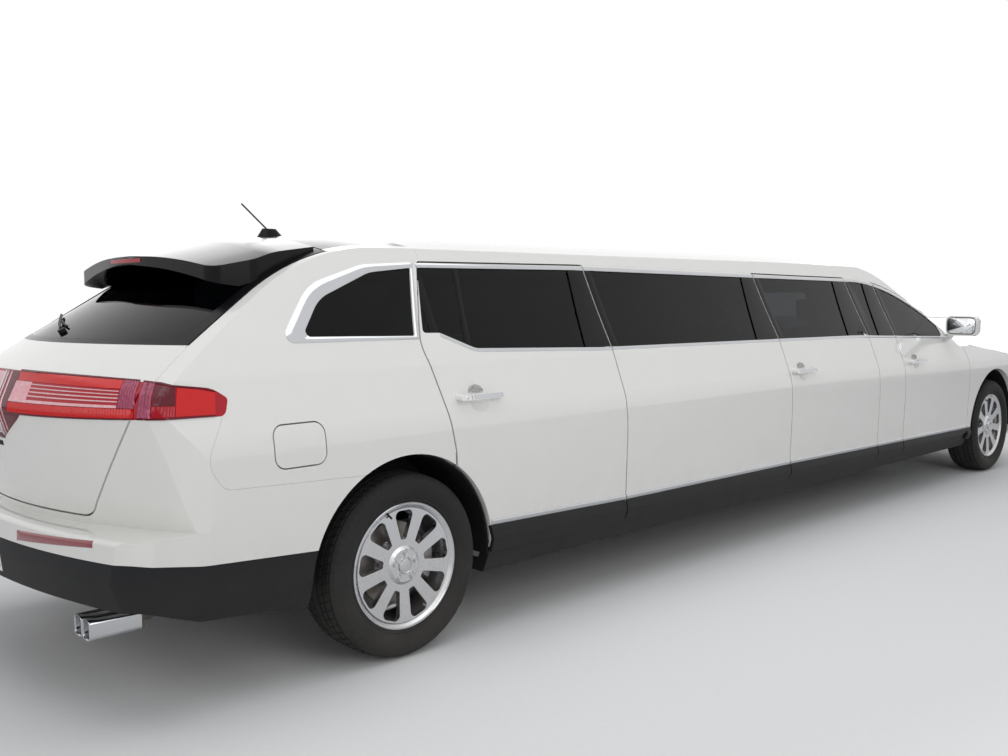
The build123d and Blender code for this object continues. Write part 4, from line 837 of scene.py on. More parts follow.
def rounded_box(name: str, low: Sequence[float], high: Sequence[float], radius: float,
                segments: int = 3) -> Piece:
    """Box with rounded edges.

    Args:
        name: Piece name.
        low: Lowest corner.
        high: Highest corner.
        radius: Edge radius.
        segments: Steps round each edge.

    Returns:
        The linked object.
    """
    mesh = bpy.data.meshes.new(name)
    low, high = Vector(low), Vector(high)
    size, middle = high - low, (high + low) / 2
    with edited(mesh) as work:
        bmesh.ops.create_cube(work, size=1.0)
        for vert in work.verts:
            vert.co = vert.co * size + middle
        bevel_edges(work, list(work.edges), radius, segments)
    return link_mesh(name, mesh, 50)


def join_pieces(name: str, parts: list[Piece]) -> Piece:
    """One object from several meshes.

    Args:
        name: Name of the whole.
        parts: Objects that are used up.

    Returns:
        The joined object.
    """
    mesh = bpy.data.meshes.new(name)
    with edited(mesh) as work:
        for part in parts:
            part.data.transform(part.matrix_world)
            work.from_mesh(part.data)
    for part in parts:
        bpy.data.objects.remove(part)
    return link_mesh(name, mesh, 40)


def prism_piece(name: str, points: list[Vector], shift: Vector, bevel: float) -> Piece:
    """Plate of one outline pushed along a direction.

    Args:
        name: Piece name.
        points: Outline in space.
        shift: Way and depth of the push.
        bevel: Bevel on the two rims.

    Returns:
        The linked object.
    """
    count = len(points)
    verts = points + [p + shift for p in points]
    faces = [tuple(reversed(range(count))), tuple(range(count, 2 * count)), *loop_faces(2, count)]
    return mesh_piece(name, verts, faces, 35, bevel)


@dataclass
class Workshop:
    """The frame, the finishes and what every sub-assembly shares."""

    frame: dict
    palette: Palette
    surface: BVHTree = field(init=False)
    slots: set[str] = field(init=False)

    SKIN_NODES = (
        *both_sides("front_door", "rear_door", "front_door_glass", "rear_door_glass"),
        "middle_door_right", "side_panels", "quarter_panels", "hood", "tailgate", "tailgate_frame",
        "rear_roof_panel", "roof_panel", "tail_lamp_bar", "tail_lamps_outer", "headlamps",
        "rear_bumper", "rear_valance", "front_bumper", "front_fenders", "sills",
        "middle_door_glass_right", "fixed_side_glass", "tailgate_glass", "windscreen", "cowl_panel",
        "fuel_flap", "grille",
    )

    def __post_init__(self) -> None:
        """Build the search tree of the outer skin and list the record's material slots."""
        verts: list[Vector] = []
        faces: Faces = []
        for node in self.SKIN_NODES:
            mesh = self.frame["nodes"][node].data
            start = len(verts)
            verts += [v.co.copy() for v in mesh.vertices]
            faces += [tuple(start + i for i in polygon.vertices) for polygon in mesh.polygons]
        self.surface = BVHTree.FromPolygons(verts, faces)
        self.slots = {row["slot"] for row in self.frame["record"]["materials"]}

    def cast(self, origin: Vector, direction: Vector) -> Sample:
        """First point of the skin along a ray.

        Args:
            origin: Start of the ray.
            direction: Direction of the ray.

        Returns:
            Place and outward normal.
        """
        hit, normal, _, _ = self.surface.ray_cast(origin, direction)
        if hit is None:
            hit, normal, _, _ = self.surface.find_nearest(origin + direction)
        return hit, -normal if normal.dot(direction) > 0 else normal

    def on_side(self, x: float, z: float, side: Side) -> Sample:
        """Skin point beside the car at x, z."""
        return self.cast(Vector((x, side.value * 1.6, z)), Vector((0, -side.value, 0)))

    def on_tail(self, y: float, z: float) -> Sample:
        """Skin point behind the car at y, z."""
        return self.cast(Vector((-6, y, z)), Vector((1, 0, 0)))

    def on_nose(self, y: float, z: float) -> Sample:
        """Skin point before the car at y, z."""
        return self.cast(Vector((6, y, z)), Vector((-1, 0, 0)))

    def on_top(self, x: float, y: float) -> Sample:
        """Skin point over the car at x, y."""
        return self.cast(Vector((x, y, 3)), Vector((0, 0, -1)))

    def fit(self, piece: Piece, body: str, finish: str, slot: str | None = None) -> Piece:
        """Put a piece on its body, in its finish.

        Args:
            piece: The piece, in place.
            body: Body that carries it.
            finish: Name of its finish.
            slot: The record's material slot; not used.

        Returns:
            The piece.
        """
        self.palette.dress(piece, finish)
        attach(piece, body)
        slot or (finish if finish in self.slots else "black_satin")
        return piece


def flat(height: float) -> Lift:
    """Height rule that is the same everywhere."""
    return lambda i, j: height


def crown(width: int, thick: float, edge: float = 0.35) -> Lift:
    """Height rule that rises from both edges of a strip to its middle.

    Args:
        width: Columns across the strip.
        thick: Height in the middle.
        edge: Share of the height at the edges.

    Returns:
        Rule for a row and a column.
    """
    return lambda i, j: thick * (edge + (1 - edge) * math.sin(math.pi * j / (width - 1)))


def ribbed(i: int, j: int) -> float:
    """Height rule with two raised rows in every four."""
    return 0.0026 + (0.0024 if i % 4 in (1, 2) else 0.0)


def scalloped(i: int, j: int) -> float:
    """Height rule in soft waves, one for every three rows."""
    return 0.0022 + 0.0016 * math.cos(i * math.pi / 3) ** 2


def rimmed(last_row: int, last_column: int, thick: float, edge: float) -> Lift:
    """Height rule that is lower on the outermost rows and columns of a patch."""
    return lambda i, j: thick * (edge if i in (0, last_row) or j in (0, last_column) else 1.0)


def sample_run(cast: Cast, first: Sequence[float], last: Sequence[float],
               steps: int) -> list[Sample]:
    """Skin samples at even steps between two points of a view."""
    return [cast(*between(first, last, k / steps)) for k in range(steps + 1)]


def level_out(samples: list[Sample], step: float = 0.006, axis: int = 1) -> list[Sample]:
    """Bring samples that fell into a gap back to the plane of their outermost neighbour.

    Args:
        samples: One row of surface samples.
        step: Depth from which a sample counts as fallen.
        axis: Axis along which the samples were cast.

    Returns:
        The levelled row.
    """
    outer, normal = max(samples, key=lambda sample: abs(sample[0][axis]))
    levelled = []
    for spot, own_normal in samples:
        if (outer - spot).dot(normal) > step and abs(normal[axis]) > 0.2:
            raised = spot.copy()
            raised[axis] = 0.0
            raised[axis] = (outer - raised).dot(normal) / normal[axis]
            spot, own_normal = raised, normal
        levelled.append((spot, own_normal))
    return levelled


def bridge_falls(samples: list[Sample], drop: float = 0.012) -> list[Sample]:
    """Lift tail or nose samples that fell into a seam onto the line of their neighbours.

    Args:
        samples: One row of surface samples.
        drop: Depth from which a sample counts as fallen.

    Returns:
        The mended row.
    """
    bridged = list(samples)
    for k in range(1, len(samples) - 1):
        middle = (bridged[k - 1][0] + samples[k + 1][0]) / 2
        if abs(middle.x) - abs(samples[k][0].x) > drop:
            bridged[k] = (middle, bridged[k - 1][1])
    return bridged


def ribbon(name: str, cast: Cast, path: list[Pair], width: float, thick: float,
           steps: int = 4) -> Piece:
    """Half-round strip along a line of x, z on the car's side.

    Args:
        name: Piece name.
        cast: Gives the skin point at x, z.
        path: Centre line as x, z.
        width: Strip width.
        thick: Height over the skin.
        steps: Steps across.

    Returns:
        The strip.
    """
    grid = []
    for before, point, after in zip(path[:1] + path, path, path[1:] + path[-1:]):
        run = Vector((after[0] - before[0], after[1] - before[1])).normalized()
        across = Vector((-run.y, run.x)) * (width / 2)
        middle = Vector(point)
        grid.append(level_out(sample_run(cast, middle - across, middle + across, steps)))
    return slab(name, grid, crown(steps + 1, thick))


def side_patch(name: str, cast: Cast, back: list[Pair], front: list[Pair], thick: float,
               steps: int = 4) -> Piece:
    """Patch between two lines of x, z on the car's side.

    Args:
        name: Piece name.
        cast: Gives the skin point at x, z.
        back: One edge as x, z.
        front: The other edge, with as many points.
        thick: Height over the skin.
        steps: Steps across.

    Returns:
        The patch.
    """
    grid = [level_out(sample_run(cast, a, b, steps), 0.003) for a, b in zip(back, front)]
    return slab(name, grid, rimmed(len(grid) - 1, steps, thick, 0.4))


def quad_patch(
    name: str, cast: Cast, corners: list[Pair], lift: float, steps: tuple[int, int] = (24, 6),
) -> Piece:
    """Four-cornered patch on the tail or the nose, corners as y, z.

    Args:
        name: Piece name.
        cast: Gives the skin point at y, z.
        corners: Low first, low last, high last, high first corner.
        lift: Height over the skin.
        steps: Steps along and across.

    Returns:
        The patch.
    """
    a, b, c, d = corners
    shares = [i / steps[0] for i in range(steps[0] + 1)]
    grid = [bridge_falls(sample_run(cast, between(a, b, t), between(d, c, t), steps[1]))
            for t in shares]
    return slab(name, grid, rimmed(*steps, lift, 0.45))


@dataclass
class Studio:
    """Pale floor, soft light and the camera at the photograph's angle."""

    eye: Row = (-5.325, -4.004, 1.432)
    yaw: float = 45.91
    pitch: float = -4.64
    roll: float = 0.27
    focal_pixels: float = 1004.4
    picture_width: float = 1008.0
    sensor: float = 36.0
    floor_half: float = 60.0
    clear_floor: Pair = (6.0, 2.6)

    LAMPS = (
        ("lamp_over", (-1.5, -1.0, 7.5), (0, 0, 0), 9.0, 260.0),
        ("lamp_right", (-3.5, -8.5, 4.2), (-0.5, 0, 0.8), 5.0, 150.0),
        ("lamp_tail", (-10.0, -1.5, 4.4), (-3.0, 0, 0.8), 4.0, 90.0),
        ("lamp_left", (2.0, 8.5, 5.0), (0.5, 0, 0.6), 5.0, 130.0),
        ("lamp_nose", (10.0, 2.0, 4.0), (2.0, 0, 0.6), 4.0, 90.0),
    )

    def build(self) -> None:
        """Set the world, the floor, the lamps and the camera."""
        bpy.context.scene.view_settings.view_transform = "Standard"
        self._world()
        self._floor()
        for row in self.LAMPS:
            self._lamp(*row)
        self._camera()
        LOG.info("studio: floor, five lamps, camera")

    def _world(self) -> None:
        """White surroundings for the eye, softer light for the car."""
        world = bpy.data.worlds.new("surroundings")
        bpy.context.scene.world = world
        world.use_nodes = True
        tree = world.node_tree
        tree.nodes.clear()
        path = place(tree, "ShaderNodeLightPath").outputs
        seen = math_node(tree, "MAXIMUM", path["Is Camera Ray"], path["Is Transmission Ray"])
        seen = math_node(tree, "MAXIMUM", seen, path["Is Glossy Ray"])
        light = place(tree, "ShaderNodeBackground", Color=shade(0.93, 0.96, 1.0), Strength=0.34)
        backdrop = place(tree, "ShaderNodeBackground", Color=shade(1, 1, 1), Strength=1.0)
        mixed = tree.nodes.new("ShaderNodeMixShader")
        for index, socket in enumerate((seen, light.outputs[0], backdrop.outputs[0])):
            tree.links.new(socket, mixed.inputs[index])
        place(tree, "ShaderNodeOutputWorld", Surface=mixed.outputs[0])

    def _floor(self) -> None:
        """Wide pale floor that keeps the car's shadow."""
        half = self.floor_half
        verts = [Vector((a, b, 0)) for a, b in bar_corners(half, -half, half)]
        floor = mesh_piece("floor", verts, [(0, 1, 2, 3)])
        material, tree, shader = new_material("floor_pale")
        where = object_place(tree)
        noise = place(tree, "ShaderNodeTexNoise", Vector=where, Scale=40.0, Detail=4.0).outputs[0]
        away = place(tree, "ShaderNodeVectorMath", {"operation": "MULTIPLY"}, Vector=where)
        away.inputs[1].default_value = (1 / self.clear_floor[0], 1 / self.clear_floor[1], 0)
        reach = place(tree, "ShaderNodeVectorMath", {"operation": "LENGTH"},
                      Vector=away.outputs[0]).outputs["Value"]
        fade = place(
            tree, "ShaderNodeMapRange", {"interpolation_type": "SMOOTHSTEP"}, Value=reach,
            From_Min=1.0, From_Max=2.4,
        )
        seen = place(tree, "ShaderNodeLightPath").outputs["Is Camera Ray"]
        connect(
            tree, shader,
            Base_Color=blend_colors(tree, noise, shade(0.80, 0.80, 0.80), shade(0.84, 0.84, 0.84)),
            Roughness=0.9, Emission_Color=shade(1, 1, 1),
            Emission_Strength=math_node(tree, "MULTIPLY", fade.outputs[0], seen),
        )
        floor.data.materials.append(material)

    def _lamp(self, name: str, spot: Row, target: Row, size: float, power: float) -> None:
        """Square soft lamp aimed at a point.

        Args:
            name: Lamp name.
            spot: Place.
            target: Point that it faces.
            size: Edge length.
            power: Power in watts.
        """
        data = bpy.data.lights.new(name, "AREA")
        data.shape = "SQUARE"
        data.size = size
        data.energy = power
        lamp = bpy.data.objects.new(name, data)
        bpy.context.scene.collection.objects.link(lamp)
        lamp.visible_camera = False
        lamp.location = spot
        lamp.rotation_mode = "QUATERNION"
        lamp.rotation_quaternion = (Vector(target) - Vector(spot)).to_track_quat("-Z", "Y")

    def _camera(self) -> None:
        """Camera fitted to the photograph."""
        yaw, pitch, roll = (math.radians(v) for v in (self.yaw, self.pitch, self.roll))
        level = math.cos(pitch)
        ahead = Vector((math.cos(yaw) * level, math.sin(yaw) * level, math.sin(pitch)))
        right = ahead.cross(Vector((0, 0, 1))).normalized()
        down = ahead.cross(right)
        right_rolled = right * math.cos(roll) + down * math.sin(roll)
        down_rolled = down * math.cos(roll) - right * math.sin(roll)
        data = bpy.data.cameras.new("camera")
        data.sensor_width = self.sensor
        data.lens = self.focal_pixels / self.picture_width * self.sensor
        data.clip_end = 300.0
        camera = bpy.data.objects.new("camera", data)
        bpy.context.scene.collection.objects.link(camera)
        turn = Matrix((right_rolled, -down_rolled, -ahead)).transposed().to_4x4()
        camera.matrix_world = Matrix.Translation(Vector(self.eye)) @ turn
        bpy.context.scene.camera = camera


NODE_FINISHES: dict[str, tuple[str, ...]] = {
    "paint_white": (
        *both_sides("front_door", "rear_door"), "middle_door_right", "side_panels", "hood",
        "tailgate", "rear_bumper", "fuel_flap", "quarter_panels", "front_bumper", "front_fenders",
        "roof_panel", "body_frames",
    ),
    "glass_dark": (
        *both_sides("front_door_glass", "rear_door_glass"), "middle_door_glass_right",
        "tailgate_glass", "fixed_side_glass",
    ),
    "glass_clear": ("windscreen",),
    "black_gloss": ("tailgate_frame", "rear_roof_panel"),
    "black_satin": (
        # The sills are dark as painted shade: black_satin stands in for the shaded underside below
        # the cladding.
        "cowl_panel", "rear_valance", "grille", "wheel_liners", "steering_wheel", "sills",
    ),
    "lamp_red": ("tail_lamp_bar", "tail_lamps_outer"),
    "lamp_clear": ("headlamps",),
    "steel_dark": (
        "floor_pan", "chassis_frame", "front_subframe", "rear_axle", "fuel_tank", "exhaust",
        *both_sides("knuckle"),
    ),
    "engine_metal": ("engine_block",),
    "wheel_silver": both_sides("rim_front", "rim_rear"),
    "tyre_rubber": both_sides("tyre_front", "tyre_rear"),
    "trim_soft": ("dashboard", "partition"),
    "leather": ("front_seats", "lounge_seats"),
    "cabinet": ("bar_cabinet",),
}


@dataclass
class FrameFinish:
    """Finishes on the solids that stay."""

    shop: Workshop

    def dress(self) -> None:
        """Give each solid its finish."""
        for finish, nodes in NODE_FINISHES.items():
            for node in nodes:
                self.shop.palette.dress(self.shop.frame["nodes"][node], finish)
        LOG.info("finishes on %d solids", sum(len(nodes) for nodes in NODE_FINISHES.values()))


@dataclass(frozen=True)
class Bay:
    """Stretch of the side between two seams, and the body that carries it."""

    name: str
    back: float
    front: float
    right_body: str
    left_body: str

    def body(self, side: Side) -> str:
        """Body that carries this bay on one side."""
        return self.right_body if side is Side.RIGHT else self.left_body


BAYS: tuple[Bay, ...] = (
    Bay("quarter", TAIL, REAR_DOOR_BACK, VEHICLE, VEHICLE),
    Bay("rear_door", REAR_DOOR_BACK, REAR_DOOR_FRONT, "rear_door_right", "rear_door_left"),
    Bay("blank_panel", REAR_DOOR_FRONT, MIDDLE_DOOR_BACK, VEHICLE, VEHICLE),
    Bay("middle_bay", MIDDLE_DOOR_BACK, MIDDLE_DOOR_FRONT, "middle_door_right", VEHICLE),
    Bay("filler", MIDDLE_DOOR_FRONT, FRONT_DOOR_BACK, VEHICLE, VEHICLE),
    Bay("front_door", FRONT_DOOR_BACK, FRONT_DOOR_FRONT - SHUT_HALF, "front_door_right",
        "front_door_left"),
    Bay("fender", FRONT_DOOR_FRONT - SHUT_HALF, NOSE, VEHICLE, VEHICLE),
)


@dataclass
class SideTrim:
    """Chrome strips, pillar covers and sill trim along one side."""

    shop: Workshop
    side: Side
    upper_width: float = 0.017
    belt_width: float = 0.014
    sill_width: float = 0.024
    strip_thick: float = 0.0035
    cover_thick: float = 0.0022
    step: float = 0.030
    seam_gap: float = 0.001
    glass_gap: float = 0.001
    quarter_centre: Pair = (-2.92, 1.40)
    arch_lap: float = 0.0015
    arch_reach: float = 0.012
    corner_gap: float = 0.0015
    corner_top: float = 0.8005

    SILL_LINE = ((-2.444, 0.478), (-1.550, 0.457), (0.0, 0.446), (2.500, 0.411), (2.688, 0.409))
    SILL_LOW = (
        (-2.444, 0.348), (0.0, 0.345), (2.540, 0.315), (2.556, 0.366), (2.6215, 0.366),
        (2.624, 0.311), (2.688, 0.311),
    )
    CLADDING = (
        (0.00, 0.001), (0.06, 0.004), (0.20, 0.0065), (0.36, 0.0095), (0.50, 0.012), (0.55, 0.0105),
        (0.70, 0.005), (0.85, -0.001), (1.00, -0.007),
    )

    PILLARS = (
        ("rear_door_tail_cover", "rear_door", -2.644, -2.644, -2.596, -2.600),
        ("rear_door_divider", "rear_door", -2.404, -2.474, -2.378, -2.446),
        ("rear_door_cover", "rear_door", -1.660, -1.730, -1.5485, -1.5485),
        ("blank_rear_cover", "blank_panel", -1.5405, -1.5405, -1.490, -1.490),
        ("blank_front_cover", "blank_panel", -0.140, -0.240, -0.0135, -0.0135),
        ("middle_rear_cover", "middle_bay", -0.0055, -0.0055, 0.046, 0.046),
        ("middle_front_cover", "middle_bay", 0.950, 0.850, 1.1115, 1.1115),
        ("filler_rear_cover", "filler", 1.1195, 1.1195, 1.170, 1.170),
        ("filler_front_cover", "filler", 1.360, 1.270, 1.4995, 1.4995),
        ("front_door_cover", "front_door", 1.5075, 1.5075, 1.560, 1.552),
    )

    def build(self) -> None:
        """Trim the side."""
        self._window_strips()
        self._pillar_covers()
        self._quarter_surround()
        self._sill_trim()
        self._arch_corner()
        LOG.info("side trim, %s", self.side.label)

    def cast(self, x: float, z: float) -> Sample:
        """Skin point of the side at x, z."""
        return self.shop.on_side(x, z, self.side)

    def _by_bay(self, path: list[Pair]) -> list[tuple[Bay, list[Pair]]]:
        """Cut a line at the seams.

        Args:
            path: Line as x, z with x rising.

        Returns:
            Each bay with its stretch of the line.
        """
        pieces = []
        for bay in BAYS:
            low, high = bay.back + SHUT_HALF + self.seam_gap, bay.front - SHUT_HALF - self.seam_gap
            inside = {p for p in path if low < p[0] < high}
            if len(inside) < 2:
                continue
            for edge in (low, high):
                crossing = [(a, b) for a, b in zip(path, path[1:])
                            if min(a[0], b[0]) < edge <= max(a[0], b[0])]
                inside |= {(edge, line_height(a, b, edge)) for a, b in crossing[:1]}
            pieces.append((bay, sorted(inside)))
        return pieces

    def _window_strips(self) -> None:
        """Upper strip from the rear door over the arc, and belt strip below the glass."""
        outer = inset_rows(WINDOW_BAND, -self.upper_width / 2 - self.glass_gap)
        upper = evenly(outline_points([outer[1], *outer[2:5]], closed=False, arc_steps=24),
                       self.step)
        upper = [p for p in upper if p[0] > REAR_DOOR_BACK - 0.02]
        outer = inset_rows(WINDOW_BAND, -self.belt_width / 2 - self.glass_gap)
        belt = evenly(outline_points([outer[9], *reversed(outer[5:9])], closed=False, arc_steps=16),
                      self.step)
        rows = (("upper_strip", upper, self.upper_width),
                ("belt_strip", sorted(belt), self.belt_width))
        for label, path, width in rows:
            for bay, part in self._by_bay(path):
                strip = ribbon(f"{label}_{bay.name}_{self.side.label}", self.cast, part, width,
                               self.strip_thick)
                self.shop.fit(strip, bay.body(self.side), "chrome")

    def _band_edge(self, x: float, top: bool) -> float:
        """Height of the window band's top or bottom at x."""
        points = outline_points(WINDOW_BAND, arc_steps=24)
        hits = []
        for a, b in zip(points, points[1:] + points[:1]):
            if min(a[0], b[0]) <= x <= max(a[0], b[0]) and a[0] != b[0]:
                hits.append(line_height(a, b, x))
        return max(hits) if top else min(hits)

    def _pillar_covers(self) -> None:
        """Gloss black covers over the pillars between the windows."""
        bays = {bay.name: bay for bay in BAYS}
        for name, bay, back_top, back_low, front_top, front_low in self.PILLARS:
            edges = []
            for x_top, x_low in ((back_top, back_low), (front_top, front_low)):
                low = (x_low, self._band_edge(x_low, False) + 0.001)
                top = (x_top, self._band_edge(x_top, True) - 0.001)
                edges.append([between(low, top, t / 16) for t in range(17)])
            cover = side_patch(f"{name}_{self.side.label}", self.cast, *edges, self.cover_thick)
            self.shop.fit(cover, bays[bay].body(self.side), "black_gloss")

    def _quarter_surround(self) -> None:
        """Chrome frame round the quarter window, broad at its tail end."""
        inner = evenly(outline_points(QUARTER_WINDOW, arc_steps=12), 0.02, closed=True)
        outer = outline_points(QUARTER_CHROME, arc_steps=12)
        centre = Vector(self.quarter_centre)
        grid = []
        for point in map(Vector, inner):
            away = point - centre
            start = point + away.normalized() * 0.0005
            grid.append(level_out(sample_run(self.cast, start, self._exit(outer, centre, away), 4)))
        grid.append(grid[0])
        frame = slab(f"quarter_surround_{self.side.label}", grid, crown(5, 0.0045, 0.3))
        self.shop.fit(frame, VEHICLE, "chrome")

    def _exit(self, line: list[Pair], centre: Vector, away: Vector) -> Vector:
        """Where a ray from the centre leaves a closed outline.

        Args:
            line: Closed outline.
            centre: Start of the ray.
            away: Direction of the ray.

        Returns:
            The crossing.
        """
        best = centre + away
        for a, b in zip(map(Vector, line), map(Vector, line[1:] + line[:1])):
            edge, gap = b - a, a - centre
            cross = away.cross(edge)
            if abs(cross) < 1e-12:
                continue
            if gap.cross(edge) / cross > 1.001 and -1e-6 <= gap.cross(away) / cross <= 1 + 1e-6:
                best = centre + away * (gap.cross(edge) / cross)
        return best

    def _sill_trim(self) -> None:
        """Chrome strip and black cladding above the sill."""
        line = evenly(self.SILL_LINE, 0.05)
        reach = {line[0][0]: -self.arch_reach, line[-1][0]: self.arch_reach}
        for bay, part in self._by_bay(line):
            name = f"{bay.name}_{self.side.label}"
            strip = ribbon(f"sill_strip_{name}", self.cast, part, self.sill_width, 0.006)
            self.shop.fit(strip, bay.body(self.side), "chrome")
            grid = []
            for x, z in part:
                top, _ = self.cast(x, z - self.sill_width / 2)
                top.x += reach.get(x, 0.0)
                grid.append(self._cladding_row(top, top.z - height_at(self.SILL_LOW, x)))
            cladding = slab(f"sill_cladding_{name}", grid, flat(0.002), 0.016)
            self.shop.fit(cladding, bay.body(self.side), "black_satin")

    def _cladding_row(self, top: Vector, depth: float) -> list[Sample]:
        """Section of the cladding: out to a fold, then in under the door.

        Args:
            top: Point on its upper edge.
            depth: Height of the section.

        Returns:
            Places and outward normals, top first.
        """
        rows = self.CLADDING
        row = []
        for above, (share, out), below in zip(rows[:1] + rows, rows, rows[1:] + rows[-1:]):
            rise = (below[1] - above[1]) / ((below[0] - above[0]) * depth)
            z = top.z - share * depth
            spot = Vector((self._between_arches(top.x, z), top.y + self.side.value * out, z))
            row.append((spot, Vector((0, self.side.value, rise)).normalized()))
        return row

    def _between_arches(self, x: float, z: float) -> float:
        """Place along the car drawn back to the stretch between the wheel arches at z."""
        rise = z - TYRE_RADIUS
        back = REAR_AXLE + math.sqrt(REAR_ARCH ** 2 - rise ** 2) - self.arch_lap
        front = FRONT_AXLE - math.sqrt(FRONT_ARCH ** 2 - rise ** 2) + self.arch_lap
        return min(max(x, back), front)

    def _arch_corner(self) -> None:
        """Corner of the quarter panel between the wheel opening and the rear door."""
        start = REAR_AXLE + math.sqrt(REAR_ARCH ** 2 - (self.corner_top - TYRE_RADIUS) ** 2) + 0.001
        end = REAR_DOOR_BACK - SHUT_HALF - self.corner_gap
        grid = []
        for i in range(13):
            x = start + (end - start) * i / 12
            low = TYRE_RADIUS + math.sqrt(REAR_ARCH ** 2 - (x - REAR_AXLE) ** 2)
            near, normal = self.cast(min(x, end - 0.008), self.corner_top + 0.006)
            far, _ = self.cast(min(x, end - 0.008), self.corner_top + 0.036)
            row = []
            for j in range(7):
                z = low + (self.corner_top - low) * j / 6
                y = line_height((near.z, near.y), (far.z, far.y), z)
                row.append((Vector((x, y, z)), normal))
            grid.append(row)
        corner = slab(f"quarter_corner_{self.side.label}", grid, flat(0.0), 0.024)
        self.shop.fit(corner, VEHICLE, "paint_white")


@dataclass
class DoorFurniture:
    """Handle inserts, locks and mirrors."""

    shop: Workshop
    handle_length: float = 0.250
    insert_height: float = 0.018
    cup_shift: float = 0.118
    cup_size: Pair = (0.042, 0.030)
    mirror_spot: Row = (FRONT_AXLE - 1.008, 1.068, 1.203)

    HANDLES = (
        ("rear_door", REAR_AXLE + 0.270, 1.020, tuple(Side)),
        ("middle_door", MIDDLE_DOOR_BACK + 0.025, 0.985, (Side.RIGHT,)),
        ("front_door", FRONT_DOOR_BACK + 0.060, 0.966, tuple(Side)),
    )
    LOCK = (
        (0.0001, 0.0022), (0.0052, 0.0018), (0.0066, 0.0008), (0.0066, -0.002), (0.0001, -0.002),
    )
    MIRROR = (
        ("mirror_rim", (0.1015, 0.0615), 0.036, 0.0045, 0.0022, "black_satin", None),
        ("mirror_glass", (0.0955, 0.0555), 0.032, 0.0022, 0.0020, "mirror_glass", "chrome"),
    )

    def build(self) -> None:
        """Dress the handles and the mirrors."""
        for door, back, height, sides in self.HANDLES:
            for side in sides:
                self._handle(f"{door}_{side.label}", back, height,
                             partial(self.shop.on_side, side=side))
        for side in Side:
            self._mirror(side)
        LOG.info("handles and mirrors")

    def _handle(self, body: str, back: float, height: float, cast: Cast) -> None:
        """Painted shade of the recess behind the grip, chrome insert of the grip, its seam and the
        lock behind it.

        Args:
            body: Door body.
            back: Rear end of the handle along X.
            height: Middle of the handle.
            cast: Gives the skin point at x, z.
        """
        turns = [math.pi * k / 12 for k in range(13)]
        low = [(back + self.cup_shift + self.cup_size[0] * math.cos(turn), height + 0.014)
               for turn in turns]
        high = [(x, height + 0.016 + self.cup_size[1] * math.sin(turn))
                for (x, _), turn in zip(low, turns)]
        # Flat patch in darker paint, not a recess in the door: painted shade where the handle's
        # recess would be.
        cup_shade = side_patch(f"handle_cup_{body}", cast, low, high, 0.0006, 5)
        self.shop.fit(cup_shade, body, "paint_shade", "paint_white")
        grip = ((back + 0.072, height), (back + self.handle_length - 0.014, height - 0.001))
        insert = ribbon(f"handle_insert_{body}", cast, evenly(grip, 0.012), self.insert_height,
                        0.0022)
        self.shop.fit(insert, body, "chrome")
        seam = ((back + 0.060, height - 0.011), (back + 0.060, height + 0.011))
        line = ribbon(f"handle_seam_{body}", cast, evenly(seam, 0.004), 0.0022, 0.0004, 2)
        self.shop.fit(line, body, "black_satin")
        lock = turned_piece(f"handle_lock_{body}", self.LOCK, steps=24)
        seat_on(lock, cast(back + 0.034, height))
        self.shop.fit(lock, body, "chrome")

    def _mirror(self, side: Side) -> None:
        """Mirror glass and its dark rim.

        Args:
            side: Side of the car.
        """
        x, y, z = self.mirror_spot
        body = f"front_door_{side.label}"
        for label, half, radius, start, depth, finish, slot in self.MIRROR:
            outline = outline_points(rectangle((y * side.value, z), half, radius))
            face = [Vector((x + start, a, b)) for a, b in outline]
            plate = prism_piece(f"{label}_{body}", face, Vector((depth, 0, 0)), 0.0006)
            self.shop.fit(plate, body, finish, slot)


